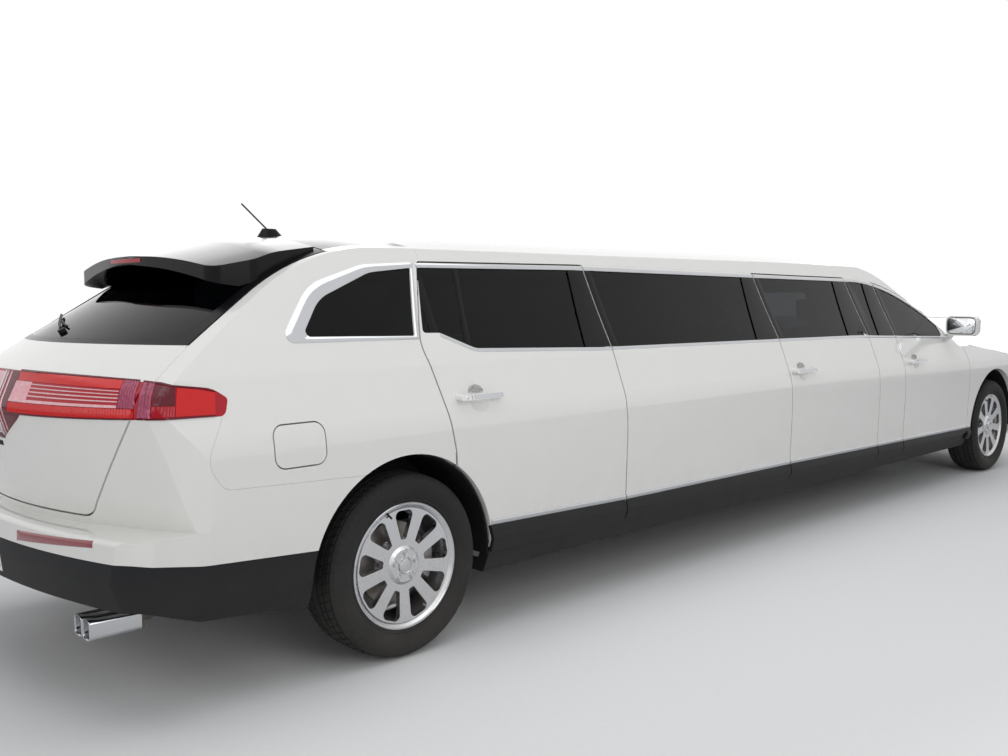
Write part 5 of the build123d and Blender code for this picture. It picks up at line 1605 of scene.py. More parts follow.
@dataclass
class Wheel:
    """Treaded tyre, cap, nuts, valve, brake faces and caliper of one wheel."""

    shop: Workshop
    corner: Corner
    pitches: int = 64
    groove: float = 0.0075
    spokes: int = 9
    face: float = 0.094
    nut_circle: float = 0.0535
    caliper_half: float = 0.040

    TREAD_RIBS = ((-0.086, -0.060), (-0.050, -0.026), (-0.017, 0.017), (0.026, 0.050),
                  (0.060, 0.086))
    PITCH = ((0.0, False), (0.40, False), (0.80, False), (0.83, True), (0.95, True), (0.98, False))
    SIDEWALL = (
        (0.2545, 0.0915), (0.2585, 0.1015), (0.2635, 0.1060), (0.2680, 0.1050), (0.2730, 0.1085),
        (0.2850, 0.1160), (0.3000, 0.1205), (0.3150, 0.1218), (0.3280, 0.1200), (0.3285, 0.1190),
        (0.3360, 0.1170), (0.3440, 0.1135), (0.3530, 0.1060), (0.3610, 0.0965),
    )
    RINGS = (
        ("centre_cap", "wheel_silver", (
            (0.0002, 0.0992), (0.020, 0.0986), (0.0265, 0.0970), (0.0268, 0.092), (0.0002, 0.092),
        )),
        ("cap_ring", "chrome", (
            (0.0270, 0.092), (0.0270, 0.0975), (0.0290, 0.0996), (0.0325, 0.0990), (0.0345, 0.0955),
            (0.0345, 0.092),
        )),
        ("rim_lip", "chrome", (
            (0.2535, 0.1002), (0.2520, 0.1016), (0.2475, 0.1016), (0.2455, 0.1000),
            (0.2455, 0.0985), (0.2535, 0.0985),
        )),
    )
    DISC = (
        (0.092, 0.0120), (0.092, 0.0136), (0.128, 0.0137), (0.1645, 0.0136), (0.1660, 0.0120),
        (0.1660, -0.0100), (0.1645, -0.0116), (0.092, -0.0116), (0.092, -0.0100), (0.1656, -0.0100),
        (0.1656, 0.0120),
    )

    def build(self) -> None:
        """Dress the wheel."""
        self._tyre()
        self._rim_parts()
        self._brake()
        LOG.info("wheel %s", self.corner.label)

    def _section(self) -> list[tuple[float, float, bool]]:
        """Tyre section from the inner bead round the tread to the outer bead.

        Returns:
            Rows of radius, offset and whether a cross groove may cut it.
        """
        rows = [(r, -y, False) for r, y in self.SIDEWALL]
        for back, front in self.TREAD_RIBS:
            rows.append((self._crown(back) - self.groove, back - 0.0012, False))
            rows += [(self._crown(offset), offset, True)
                     for offset in (back, (back + front) / 2, front)]
            rows.append((self._crown(front) - self.groove, front + 0.0012, False))
        return rows + [(r, y, False) for r, y in reversed(self.SIDEWALL)]

    def _crown(self, offset: float) -> float:
        """Tread radius at an offset from the middle."""
        return TYRE_RADIUS - 0.0002 - 0.006 * (abs(offset) / 0.09) ** 2.6

    def _tyre(self) -> None:
        """Tyre with ribs, grooves and cross cuts in its tread."""
        section = self._section()
        sign = self.corner.side.value
        verts: list[Vector] = []
        for pitch in range(self.pitches):
            for fraction, cut in self.PITCH:
                for radius, offset, rib in section:
                    slant = abs(offset) * 1.1 if rib or abs(offset) < 0.09 else 0.0
                    angle = 2 * math.pi * (pitch + fraction) / self.pitches + slant * sign
                    if cut and rib and abs(offset) > 0.02:
                        radius -= 0.005
                    elif cut and not rib and abs(offset) > 0.1 and 0.330 < radius < 0.358:
                        radius -= 0.0012
                    verts.append(round_y(self.corner.centre, radius, angle, offset * sign))
        faces = loop_faces(self.pitches * len(self.PITCH), len(section), round_trip=True,
                           closed=False)
        tyre = mesh_piece(f"treaded_tyre_{self.corner.label}", verts, faces, 32)
        self.shop.fit(tyre, f"wheel_{self.corner.label}", "tyre_rubber")
        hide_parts(f"tyre_{self.corner.label}")

    def _rim_parts(self) -> None:
        """Centre cap with a chrome ring, lug nuts, valve and a bright rim lip."""
        sign = self.corner.side.value
        body = f"wheel_{self.corner.label}"
        for label, finish, rows in self.RINGS:
            piece = turned_piece(f"{label}_{self.corner.label}", [(r, o * sign) for r, o in rows],
                                 self.corner.centre, 72)
            self.shop.fit(piece, body, finish)
        nuts = []
        pocket = ((0.0118, 0.0), (0.0132, 0.0012 * sign), (0.0142, 0.0))
        for index in range(5):
            angle = 2 * math.pi * index / 5 + math.pi / 2
            spot = round_y(self.corner.centre, self.nut_circle, angle, self.face * sign)
            nuts.append(turned_piece("pocket", pocket, spot, 24))
            hexagon = [round_y(spot, 0.0098, math.pi / 3 * step, -0.001 * sign)
                       for step in range(6)]
            nuts.append(prism_piece("nut", hexagon, Vector((0, 0.0062 * sign, 0)), 0.0012))
        self.shop.fit(join_pieces(f"lug_nuts_{self.corner.label}", nuts), body, "chrome")
        angle = math.pi / self.spokes + math.pi / 2
        foot = round_y(self.corner.centre, 0.232, angle, 0.086 * sign)
        tip = round_y(self.corner.centre, 0.214, angle, 0.106 * sign)
        valve = tube(f"valve_{self.corner.label}", [foot, foot.lerp(tip, 0.55), tip], 0.0042, 10)
        self.shop.fit(valve, body, "black_satin")

    def _brake(self) -> None:
        """Brake disc faces with vents, and the caliper over them."""
        sign = self.corner.side.value
        disc = turned_piece(f"brake_disc_{self.corner.label}",
                            [(r, o * sign) for r, o in self.DISC], self.corner.centre, 96)
        self.shop.fit(disc, f"wheel_{self.corner.label}", "brake_iron", "steel_dark")
        middle = math.pi if self.corner.front else 0.0
        outline = []
        for radius, half in ((0.186, 0.52), (0.112, -0.40)):
            for step in range(13):
                angle = middle + half * (step / 6 - 1)
                outline.append(round_y(self.corner.centre, radius, angle,
                                       -self.caliper_half * sign))
        across = Vector((0, 2 * self.caliper_half * sign, 0))
        caliper = prism_piece(f"brake_caliper_{self.corner.label}", outline, across, 0.006)
        body = f"knuckle_{self.corner.side.label}" if self.corner.front else VEHICLE
        self.shop.fit(caliper, body, "engine_metal")


@dataclass
class TailDressing:
    """Lamp lenses, plate, reflectors, wiper and exhaust tips."""

    shop: Workshop
    fan_x: float = TAIL + 0.95
    seam_y: float = 0.8185
    seam_half: float = 0.007
    lamp_level: float = 1.10
    plate_spot: Pair = (TAIL + 0.0135, 0.546)
    tip_ys: Pair = (0.578, 0.646)
    tip_height: float = 0.318

    LAMP_TOP = ((-0.200, 1.2040), (0.030, 1.1800), (0.254, 1.1580), (0.440, 1.1310),
                (0.500, 1.1160), (0.534, 1.0900))
    LAMP_LOW = ((-0.200, 1.0160), (0.040, 1.0220), (0.254, 1.0370), (0.512, 1.0320))
    STRIPES = (
        (0.285, 0.350, 0.0044), (0.425, 0.455, 0.0034), (0.515, 0.545, 0.0034),
        (0.605, 0.630, 0.0034), (0.690, 0.712, 0.0034),
    )
    SHIELD_FIELD = ((-0.128, 0.950), (0.128, 0.950), (0.066, 1.166), (-0.066, 1.166))
    SHIELD_SIDES = (
        ("shield_dip", ((0.128, 0.932), (0.262, 1.006), (0.290, 1.026), (0.128, 1.026)), 0.0030,
         (16, 10), "lamp_edge"),
        ("shield_cheek", ((0.128, 1.022), (0.205, 1.022), (0.205, 1.170), (0.070, 1.172)), 0.0028,
         (16, 10), "lamp_edge"),
        ("shield_bar_1", ((0.128, 0.938), (0.139, 0.938), (0.080, 1.170), (0.068, 1.170)), 0.0070,
         (3, 24), "chrome"),
        ("shield_bar_2", ((0.149, 0.944), (0.157, 0.948), (0.099, 1.170), (0.090, 1.170)), 0.0058,
         (3, 24), "lamp_silver"),
        ("shield_bar_3", ((0.172, 0.958), (0.182, 0.964), (0.128, 1.170), (0.118, 1.170)), 0.0050,
         (3, 24), "lamp_silver"),
    )
    REFLECTOR = ((0.320, 0.588), (0.775, 0.626), (0.775, 0.648), (0.320, 0.623))
    PLATES = (
        ("plate_holder", (0.159, 0.083), 0.012, 0.0, 0.004, "black_satin"),
        ("number_plate_blank", (0.152, 0.0762), 0.010, -0.004, 0.0022, "plate_blank"),
    )
    SCREW = (0.089, 0.0605, 0.0068)
    WIPER_ARM = ((0.02, 1.305), (0.10, 1.318), (0.20, 1.334), (0.30, 1.347), (0.36, 1.352))

    def build(self) -> None:
        """Dress the tail."""
        self._lamps()
        self._shield()
        self._reflectors()
        self._plate()
        self._wiper()
        self._third_lamp()
        self._tips()
        pad = quad_patch("gate_release_pad", self.shop.on_tail, bar_corners(0.095, 0.896, 0.914),
                         0.003, (16, 3))
        self.shop.fit(pad, "tailgate", "black_satin")
        LOG.info("tail dressing")

    def fan(self, angle: float, height: float) -> Sample:
        """Skin point behind the car in a direction from the fan's centre.

        Args:
            angle: Degrees from straight back, to the left side.
            height: Height of the point.

        Returns:
            Place and outward normal.
        """
        away = Vector((-math.cos(math.radians(angle)), math.sin(math.radians(angle)), 0))
        return self.shop.cast(Vector((self.fan_x, 0, height)) + away * 3.0, -away)

    def angle_at(self, y: float) -> float:
        """Fan angle whose skin point lies at y."""
        return settle(lambda angle: self.fan(angle, self.lamp_level)[0].y < y, 0.0, 89.0)

    def angle_before(self, x: float) -> float:
        """Fan angle whose skin point lies at x, low on the lamp."""
        return settle(lambda angle: self.fan(angle, 1.07)[0].x < x, 40.0, 88.0)

    def band(self, name: str, angles: Pair, shares: Pair, lift: Lift,
             steps: tuple[int, int]) -> Piece:
        """Patch on the lamp between two shares of its height.

        Args:
            name: Piece name.
            angles: First and last fan angle.
            shares: Low and high share of the lamp's height.
            lift: Height over the lens for a row and a column.
            steps: Steps along and across.

        Returns:
            The patch.
        """
        grid = []
        for i in range(steps[0] + 1):
            angle = angles[0] + (angles[1] - angles[0]) * i / steps[0]
            along = self.fan(angle, self.lamp_level)[0].x - TAIL
            low, high = height_at(self.LAMP_LOW, along), height_at(self.LAMP_TOP, along)
            first, last = ((angle, low + (high - low) * share) for share in shares)
            grid.append(sample_run(self.fan, first, last, steps[1]))
        return slab(name, grid, lift, 0.001, 25.0)

    def _lamps(self) -> None:
        """Lens bands, ribs, rims and prism boxes on both lamp halves."""
        half = self.seam_half
        seam, outer = (self.angle_at(self.seam_y + shift) for shift in (-half, half))
        middle, last = self.angle_at(0.200), self.angle_before(TAIL + 0.482)
        inner = (middle, seam - 3.4)
        stripes = [
            (f"lens_stripe_{index + 1}", inner, (low, high), flat(lift), (90, 2), "lamp_silver")
            for index, (low, high, lift) in enumerate(self.STRIPES)
        ]
        gate_rows = (
            ("lens_top", inner, (0.765, 0.960), flat(0.0026), (60, 4), "lamp_amber_red"),
            ("lens_core", inner, (0.290, 0.750), flat(0.0018), (60, 4), "lamp_red"),
            ("lens_low", (middle, seam), (0.045, 0.270), scalloped, (180, 4), "lamp_amber_red"),
            ("lens_block", (middle, middle + 7.0), (0.290, 0.750), ribbed, (60, 4), "lamp_silver"),
            *stripes,
            ("lens_prism", (seam - 3.3, seam), (0.285, 0.960), ribbed, (24, 6), "lamp_prism"),
            ("lens_rim_high", (middle, seam), (0.968, 0.998), flat(0.0036), (60, 2), "lamp_edge"),
            ("lens_rim_low", (middle, seam), (0.002, 0.036), flat(0.0036), (60, 2), "lamp_edge"),
        )
        outer_rows = (
            ("outer_prism", (outer, outer + 2.4), (0.060, 0.940), ribbed, (16, 6), "lamp_prism"),
            ("outer_window", (outer + 2.6, outer + 6.0), (0.400, 0.920), flat(0.0034), (12, 4),
             "lamp_edge"),
            ("outer_bulb_row", (outer + 2.6, outer + 6.0), (0.080, 0.370), scalloped, (24, 4),
             "lamp_red"),
            ("outer_lens", (outer + 6.2, last), (0.080, 0.920), flat(0.0026), (30, 5),
             "lamp_amber_red"),
            ("outer_rim_high", (outer, last), (0.945, 0.990), flat(0.0034), (40, 2), "lamp_edge"),
            ("outer_rim_low", (outer, last), (0.004, 0.050), flat(0.0034), (40, 2), "lamp_edge"),
        )
        for side in Side:
            for body, rows in (("tailgate", gate_rows), (VEHICLE, outer_rows)):
                for name, angles, shares, lift, steps, finish in rows:
                    spread = (angles[0] * side.value, angles[1] * side.value)
                    piece = self.band(f"{name}_{side.label}", spread, shares, lift, steps)
                    self.shop.fit(piece, body, finish, "lamp_red")

    def _shield(self) -> None:
        """Middle of the lamp band, drawn down into a shield with bright slanted bars."""
        rows = [("shield_field", self.SHIELD_FIELD, 0.0030, (24, 16), "lamp_silver")]
        for side in Side:
            for name, corners, *rest in self.SHIELD_SIDES:
                rows.append((f"{name}_{side.label}", mirrored(corners, side), *rest))
        foot = bar_corners(0.128, 0.926, 0.946)
        rows.append(("shield_foot", foot, 0.0040, (24, 4), "lamp_edge"))
        for name, corners, lift, steps, finish in rows:
            patch = quad_patch(name, self.shop.on_tail, corners, lift, steps)
            self.shop.fit(patch, "tailgate", finish, None if finish == "chrome" else "lamp_red")

    def _reflectors(self) -> None:
        """Reflector strips low on the bumper."""
        for side in Side:
            corners = mirrored(self.REFLECTOR, side)
            strip = quad_patch(f"reflector_{side.label}", self.shop.on_tail, corners, 0.004,
                               (30, 4))
            self.shop.fit(strip, VEHICLE, "reflector_red", "lamp_red")

    def _plate(self) -> None:
        """Blank plate with its frame and screws."""
        x, z = self.plate_spot
        for label, half, radius, start, depth, finish in self.PLATES:
            outline = [Vector((x + start, a, b))
                       for a, b in outline_points(rectangle((0, z), half, radius))]
            self.shop.fit(prism_piece(label, outline, Vector((-depth, 0, 0)), 0.0008), VEHICLE,
                          finish)
        screws = []
        out, up, radius = self.SCREW
        for y, rise, _ in rectangle((0, 0), (out, up), 0):
            spot = Vector((x - 0.0062, y, z + rise))
            turns = [math.pi / 8 * k for k in range(16)]
            head = [spot + Vector((0, radius * math.cos(turn), radius * math.sin(turn)))
                    for turn in turns]
            screws.append(prism_piece("screw", head, Vector((-0.0026, 0, 0)), 0.001))
        self.shop.fit(join_pieces("plate_screws", screws), VEHICLE, "chrome")

    def _wiper(self) -> None:
        """Wiper on the liftgate glass."""
        blade = [(0.02 + 0.042 * k, 1.318 + 0.004 * k) for k in range(10)]
        for label, spots, gap, radius, sides in (
            ("arm", self.WIPER_ARM, 0.013, 0.0055, 10), ("blade", blade, 0.007, 0.0045, 8),
        ):
            points = [p + n * gap for p, n in (self.shop.on_tail(y, z) for y, z in spots)]
            self.shop.fit(tube(f"rear_wiper_{label}", points, radius, sides), "tailgate",
                          "black_satin")
        foot, normal = self.shop.on_tail(0.0, 1.302)
        base = tube("rear_wiper_base", [foot + normal * rise for rise in (-0.004, 0.010, 0.014)],
                    0.015, 20)
        self.shop.fit(base, "tailgate", "black_satin")

    def _third_lamp(self) -> None:
        """High brake lamp in the spoiler's rear edge."""
        ys = [-0.14 + 0.28 * i / 24 for i in range(25)]
        grid = [sample_run(self.shop.on_tail, (y, 1.574), (y, 1.590), 3) for y in ys]
        self.shop.fit(slab("third_brake_lamp", grid, flat(0.0022)), "tailgate", "lamp_red")

    def _tips(self) -> None:
        """Bright sleeves on the four exhaust tips."""
        for side in Side:
            for index, y in enumerate(self.tip_ys):
                loops = [
                    outline_points(rectangle((side.value * y, self.tip_height), half, radius))
                    for half, radius in (((0.0312, 0.0372), 0.0172), ((0.0252, 0.0312), 0.0112))
                ]
                sleeve = self._sleeve(f"exhaust_sleeve_{side.label}_{index + 1}", *loops)
                self.shop.fit(sleeve, VEHICLE, "chrome")

    def _sleeve(self, name: str, outer: list[Pair], inner: list[Pair]) -> Piece:
        """Hollow sleeve with a rolled rear lip.

        Args:
            name: Piece name.
            outer: Outside outline.
            inner: Inside outline.

        Returns:
            The sleeve.
        """
        back, front = TAIL + 0.1205, TAIL + 0.302
        stations = (
            (0.0, front), (0.0, back + 0.002), (0.3, back - 0.0006), (0.75, back),
            (1.0, back + 0.004), (1.0, back + 0.150),
        )
        verts = [Vector((x, *between(o, i, share))) for share, x in stations
                 for o, i in zip(outer, inner)]
        faces = loop_faces(len(stations), len(outer))
        faces.append(tuple(range(len(verts) - len(outer), len(verts))))
        return mesh_piece(name, verts, faces, 50)


@dataclass
class NoseDressing:
    """Headlamp insides, grille trim, intake bars and windscreen wipers."""

    shop: Workshop
    intake_half: float = 0.56
    wiper_gap: float = 0.010

    LAMP_BANDS = (
        ("headlamp_mask", ((0.520, 0.826), (0.820, 0.852), (0.850, 0.925), (0.540, 0.866)), 0.0016,
         "black_gloss"),
        ("headlamp_blade", ((0.500, 0.8685), (0.840, 0.9300), (0.838, 0.9370), (0.498, 0.8750)),
         0.0026, "lamp_clear"),
    )
    PROJECTORS = ((0.600, 0.848, 0.017), (0.680, 0.860, 0.023), (0.762, 0.876, 0.023))
    GRILLE = [(-0.330, 0.590, 0.040), (-0.430, 0.868, 0.040), (0.430, 0.868, 0.040),
              (0.330, 0.590, 0.040)]
    WIPERS = (("driver", 0.62, 0.02), ("passenger", 0.02, -0.58))

    def build(self) -> None:
        """Dress the nose."""
        self._headlamps()
        self._grille_trim()
        self._wipers()
        LOG.info("nose dressing")

    def _headlamps(self) -> None:
        """Dark lamp housing bands with projector rings and a light blade."""
        for side in Side:
            for name, corners, lift, finish in self.LAMP_BANDS:
                piece = quad_patch(f"{name}_{side.label}", self.shop.on_nose,
                                   mirrored(corners, side), lift)
                self.shop.fit(piece, VEHICLE, finish)
            for index, (y, z, radius) in enumerate(self.PROJECTORS):
                rows = [
                    (0.0002, 0.0040), (radius * 0.55, 0.0034), (radius * 0.8, 0.0026),
                    (radius, 0.0042), (radius * 1.1, 0.0016), (0.0002, 0.0),
                ]
                ring = turned_piece(f"projector_{side.label}_{index + 1}", rows, steps=40)
                seat_on(ring, self.shop.on_nose(y * side.value, z))
                self.shop.fit(ring, VEHICLE, "lamp_clear")

    def _grille_trim(self) -> None:
        """Chrome frame round the grille and bars over the intake."""
        inner, outer = (
            evenly(outline_points(inset_rows(self.GRILLE, depth), arc_steps=8), 0.02, closed=True)
            for depth in (0.004, -0.016)
        )
        grid = []
        for point in inner:
            nearest = min(outer, key=lambda other: math.dist(other, point))
            grid.append(level_out(sample_run(self.shop.on_nose, point, nearest, 4), axis=0))
        grid.append(grid[0])
        self.shop.fit(slab("grille_frame", grid, crown(5, 0.007, 0.3)), VEHICLE, "chrome")
        for index, z in enumerate((0.373, 0.407)):
            corners = bar_corners(self.intake_half, z - 0.004, z + 0.004)
            bar = quad_patch(f"intake_bar_{index + 1}", self.shop.on_nose, corners, 0.002, (40, 3))
            self.shop.fit(bar, VEHICLE, "chrome")

    def _wipers(self) -> None:
        """Two wipers resting low on the windscreen."""
        for name, root, tip in self.WIPERS:
            run = sample_run(self.shop.on_top, (FRONT_AXLE - 0.540, root),
                             (FRONT_AXLE - 0.580, tip), 8)
            points = [spot + normal * self.wiper_gap for spot, normal in run]
            self.shop.fit(tube(f"wiper_blade_{name}", points, 0.0055, 8), VEHICLE, "black_satin")
            spot, normal = self.shop.on_top(FRONT_AXLE - 0.455, root + 0.02)
            arm = [spot, spot + normal * 0.022, points[3] + Vector((0.03, 0, 0.016)),
                   points[4] + Vector((0, 0, 0.010))]
            self.shop.fit(tube(f"wiper_arm_{name}", arm, 0.0075, 10), VEHICLE, "black_satin")


@dataclass
class CabinCushion:
    """One padded cushion inflated by cloth simulation."""

    name: str
    low: Row
    high: Row
    lean: float = 0.0
    pivot: Row = (0.0, 0.0, 0.0)
    voxel: float = 0.022
    shrink: float = 0.008
    cap: float = 0.016
    channels: int = 0
    channel_half: float = 0.022
    channel_depth: float = 0.009

    def build(self, shop: Workshop) -> Piece:
        """Make the cushion.

        Args:
            shop: Workshop.

        Returns:
            The cushion, in place.
        """
        inset = Vector((self.shrink,) * 3)
        piece = rounded_box(self.name, Vector(self.low) + inset, Vector(self.high) - inset, 0.035,
                            4)
        remesh = piece.modifiers.new("remesh", "REMESH")
        remesh.mode = "VOXEL"
        remesh.voxel_size = self.voxel
        self._apply(piece)
        self._inflate(piece)
        subdivide = piece.modifiers.new("subdivide", "SUBSURF")
        subdivide.levels = 1
        subdivide.render_levels = 1
        self._apply(piece)
        if self.channels:
            self._stitch(piece)
        piece.data.shade_smooth()
        if self.lean:
            turn = Matrix.Rotation(math.radians(self.lean), 4, "Y")
            pivot = Matrix.Translation(Vector(self.pivot))
            piece.data.transform(pivot @ turn @ pivot.inverted())
        shop.fit(piece, VEHICLE, "leather")
        return piece

    def _apply(self, piece: Piece) -> None:
        """Turn a piece's modifiers into plain mesh."""
        view = bpy.context.evaluated_depsgraph_get()
        mesh = bpy.data.meshes.new_from_object(piece.evaluated_get(view))
        piece.modifiers.clear()
        old = piece.data
        piece.data = mesh
        bpy.data.meshes.remove(old)

    def _inflate(self, piece: Piece) -> None:
        """Swell the cushion with cloth pressure and cap each point's movement."""
        before = [v.co.copy() for v in piece.data.vertices]
        cloth = piece.modifiers.new("cloth", "CLOTH")
        cloth.settings.use_pressure = True
        cloth.settings.uniform_pressure_force = 4.0
        cloth.settings.effector_weights.gravity = 0.0
        cloth.settings.quality = 4
        scene = bpy.context.scene
        for frame in range(1, 21):
            scene.frame_set(frame)
        self._apply(piece)
        scene.frame_set(1)
        for vert, start in zip(piece.data.vertices, before):
            moved = vert.co - start
            if moved.length > self.cap:
                vert.co = start + moved.normalized() * self.cap

    def _stitch(self, piece: Piece) -> None:
        """Press sewn channels into the cushion, across its longer side."""
        low, high = Vector(self.low), Vector(self.high)
        middle, size = (low + high) / 2, high - low
        longest = 1 if size.y >= size.x else 0
        for vert in piece.data.vertices:
            away = vert.co - middle
            share = (away[longest] / size[longest] + 0.5) * self.channels
            off = abs(share - round(share)) / self.channels * size[longest]
            if 0 < round(share) < self.channels and off < self.channel_half:
                press = self.channel_depth * (1 - off / self.channel_half) ** 2
                vert.co -= away.normalized() * press
        piece.data.update()


@dataclass
class Cabin:
    """Seats, dashboard furniture and the bar's glassware."""

    shop: Workshop
    driver_y: float = 0.410
    seat_x: float = FRONT_AXLE - 1.960
    floor: float = 0.3853
    cushion_top: float = 0.800
    bench_x: float = -2.4065 + 0.0303
    partition_x: float = MIDDLE_DOOR_FRONT - 0.062
    shelf_height: float = 0.5202

    TUMBLER = ((0.0002, 0.0), (0.032, 0.0), (0.036, 0.095), (0.0335, 0.095), (0.0295, 0.014),
               (0.0002, 0.012))
    DECANTER = (
        (0.0002, 0.0), (0.048, 0.0), (0.052, 0.02), (0.050, 0.10), (0.018, 0.145), (0.015, 0.19),
        (0.020, 0.20), (0.013, 0.203), (0.021, 0.225), (0.012, 0.245), (0.0002, 0.247),
    )

    def build(self) -> None:
        """Furnish the cabin."""
        random.seed(7)
        self._front_seats()
        self._lounge()
        self._dashboard()
        self._bar()

    def _front_seats(self) -> None:
        """Two bucket seats with cushions, backs and head restraints."""
        x = self.seat_x
        lean = {"lean": -10.0, "pivot": (x + 0.110, 0, 0.600)}
        rows = (
            ("seat_cushion", (0.075, 0.565), (0.595, 0.705), 0.245, {"channels": 3}),
            ("seat_back", (0.048, 0.610), (0.170, 1.232), 0.240, {"channels": 3, **lean}),
            ("head_rest", (0.072, 1.250), (0.148, 1.425), 0.130,
             {"shrink": 0.006, "cap": 0.01, **lean}),
        )
        for label, y in (("passenger", -self.driver_y), ("driver", self.driver_y)):
            base = rounded_box(
                f"{label}_seat_base", (x + 0.140, y - 0.190, self.floor),
                (x + 0.520, y + 0.190, 0.580), 0.015,
            )
            self.shop.fit(base, VEHICLE, "trim_soft")
            for name, (back, low), (front, high), half, more in rows:
                cushion = CabinCushion(
                    f"{label}_{name}", (x + back, y - half, low), (x + front, y + half, high),
                    **more,
                )
                cushion.build(self.shop)
        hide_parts("front_seats")
        LOG.info("front seats")

    def _lounge(self) -> None:
        """Rear bench, long left bench and the bench against the partition."""
        bx, px, top = self.bench_x, self.partition_x, self.cushion_top
        bases = (
            ("rear_bench_base", (bx, -0.770, self.floor), (bx + 0.580, 0.770, top - 0.150)),
            ("side_bench_base", (REAR_DOOR_FRONT + 0.130, 0.315, self.floor),
             (px - 0.650, 0.775, top - 0.150)),
            ("front_bench_base", (px - 0.585, -0.240, self.floor),
             (px - 0.002, 0.775, top - 0.150)),
        )
        rows = (
            ("rear_bench_cushion", (bx, -0.778, top - 0.155), (bx + 0.598, 0.778, top), 6),
            ("rear_bench_back", (bx - 0.163, -0.588, 0.660), (bx + 0.058, 0.588, 1.278), 5),
            ("side_bench_cushion", (REAR_DOOR_FRONT + 0.122, 0.302, top - 0.155),
             (px - 0.642, 0.778, top), 8),
            ("side_bench_back", (REAR_DOOR_FRONT + 0.142, 0.672, top - 0.02),
             (px - 0.662, 0.778, 1.108), 8),
            ("front_bench_cushion", (px - 0.598, -0.248, top - 0.155), (px - 0.002, 0.778, top), 4),
            ("front_bench_back", (px - 0.168, -0.248, top - 0.02), (px - 0.002, 0.688, 1.108), 4),
        )
        shown = [self.shop.fit(rounded_box(*row, 0.02), VEHICLE, "leather") for row in bases]
        for name, low, high, channels in rows:
            CabinCushion(name, low, high, channels=channels, voxel=0.026).build(self.shop)
        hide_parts("lounge_seats")
        LOG.info("lounge seats")

    def _dashboard(self) -> None:
        """Screen, vents, cluster hood and shift lever."""
        x = FIREWALL - 0.505
        screen = rounded_box("dash_screen", (x - 0.012, -0.110, 0.930), (x + 0.010, 0.110, 1.045),
                             0.006)
        self.shop.fit(screen, VEHICLE, "screen_glass", "black_gloss")
        hood = rounded_box("cluster_hood", (x - 0.020, 0.270, 1.000), (x + 0.200, 0.550, 1.088),
                           0.030)
        self.shop.fit(hood, VEHICLE, "trim_soft")
        for index, y in enumerate((-0.640, -0.170, 0.170, 0.640)):
            slats = []
            for z in (0.965 + 0.011 * k for k in range(4)):
                slats.append(rounded_box("slat", (x - 0.006, y - 0.045, z),
                                         (x + 0.004, y + 0.045, z + 0.005), 0.0015, 2))
            self.shop.fit(join_pieces(f"dash_vent_{index + 1}", slats), VEHICLE, "chrome")
        lever = [Vector((1.84, 0, 0.63)), Vector((1.85, 0, 0.70)), Vector((1.84, 0, 0.745))]
        self.shop.fit(tube("shift_lever", lever, 0.014, 16), VEHICLE, "leather")

    def _bar(self) -> None:
        """Tumblers and decanters on the bar shelf, with a chrome rail."""
        back, front = REAR_DOOR_FRONT + 0.130, MIDDLE_DOOR_BACK - 0.090
        spots = ((back + 0.05, 0.975), ((back + front) / 2, 0.978), (front - 0.05, 0.975))
        rail = tube("bar_rail", [Vector((x, -0.448, z)) for x, z in spots], 0.007, 12)
        self.shop.fit(rail, VEHICLE, "chrome")
        starts = [back + 0.12 + 0.085 * index + random.uniform(-0.006, 0.006) for index in range(8)]
        tumblers = [self._upright(self.TUMBLER, x, -0.545) for x in starts]
        self.shop.fit(join_pieces("bar_tumblers", tumblers), VEHICLE, "glassware", "glass_clear")
        decanters = [self._upright(self.DECANTER, front - 0.20 - 0.14 * index, -0.555)
                     for index in range(2)]
        self.shop.fit(join_pieces("bar_decanters", decanters), VEHICLE, "glassware", "glass_clear")

    def _upright(self, rows: Sequence[Pair], x: float, y: float) -> Piece:
        """Turned shape standing on the bar shelf; rows as radius and height."""
        piece = turned_piece("turned", rows, steps=24)
        turn = Matrix.Rotation(math.radians(90), 4, "X")
        piece.data.transform(Matrix.Translation(Vector((x, y, self.shelf_height))) @ turn)
        return piece


@dataclass
class RunningGear:
    """Coil springs seen from below and through the arches."""

    shop: Workshop
    coil_turns: int = 6
    turn_steps: int = 20

    COILS = (
        ("rear_spring", (REAR_AXLE, 0.430, 0.415), (REAR_AXLE, 0.430, 0.530), 0.056, VEHICLE),
        ("front_spring", (FRONT_AXLE, 0.690, 0.475), (FRONT_AXLE, 0.640, 0.640), 0.052, "knuckle"),
    )

    def build(self) -> None:
        """Add the springs."""
        for side in Side:
            for name, foot, head, radius, body in self.COILS:
                ends = [Vector((x, y * side.value, z)) for x, y, z in (foot, head)]
                coil = self._coil(f"{name}_{side.label}", *ends, radius)
                self.shop.fit(coil, VEHICLE if body == VEHICLE else f"{body}_{side.label}",
                              "steel_dark")
        LOG.info("springs")

    def _coil(self, name: str, foot: Vector, head: Vector, radius: float) -> Piece:
        """Coil spring between two seats.

        Args:
            name: Piece name.
            foot: Lower end.
            head: Upper end.
            radius: Coil radius.

        Returns:
            The spring.
        """
        axis = (head - foot).normalized()
        side = axis.cross(Vector((1, 0, 0))).normalized()
        other = axis.cross(side)
        points = []
        steps = self.coil_turns * self.turn_steps
        for step in range(steps + 1):
            angle = 2 * math.pi * step / self.turn_steps
            points.append(foot.lerp(head, step / steps)
                          + (side * math.cos(angle) + other * math.sin(angle)) * radius)
        return tube(name, points, 0.0062, 8)


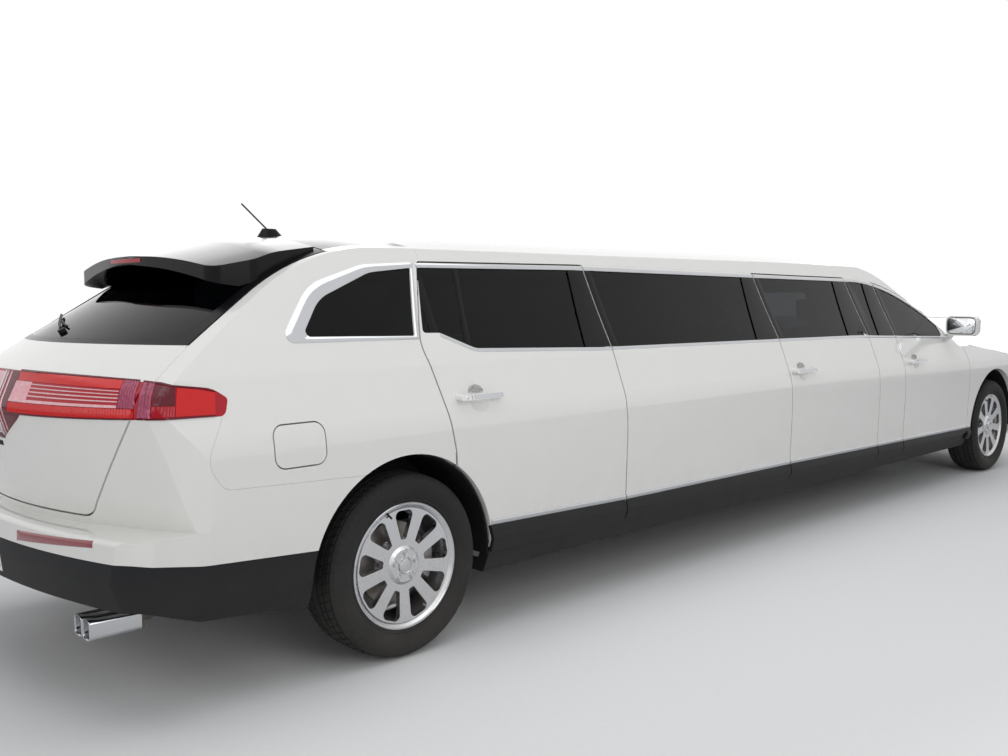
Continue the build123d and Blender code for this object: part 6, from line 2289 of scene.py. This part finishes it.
def main() -> None:
    """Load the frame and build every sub-assembly."""
    logging.basicConfig(level=logging.INFO, format="%(name)s: %(message)s")
    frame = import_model()
    shop = Workshop(frame, Palette())
    Studio().build()
    FrameFinish(shop).dress()
    for side in Side:
        SideTrim(shop, side).build()
    DoorFurniture(shop).build()
    for corner in Corner:
        Wheel(shop, corner).build()
    TailDressing(shop).build()
    NoseDressing(shop).build()
    RunningGear(shop).build()
    Cabin(shop).build()


if __name__ == "__main__":
    main()
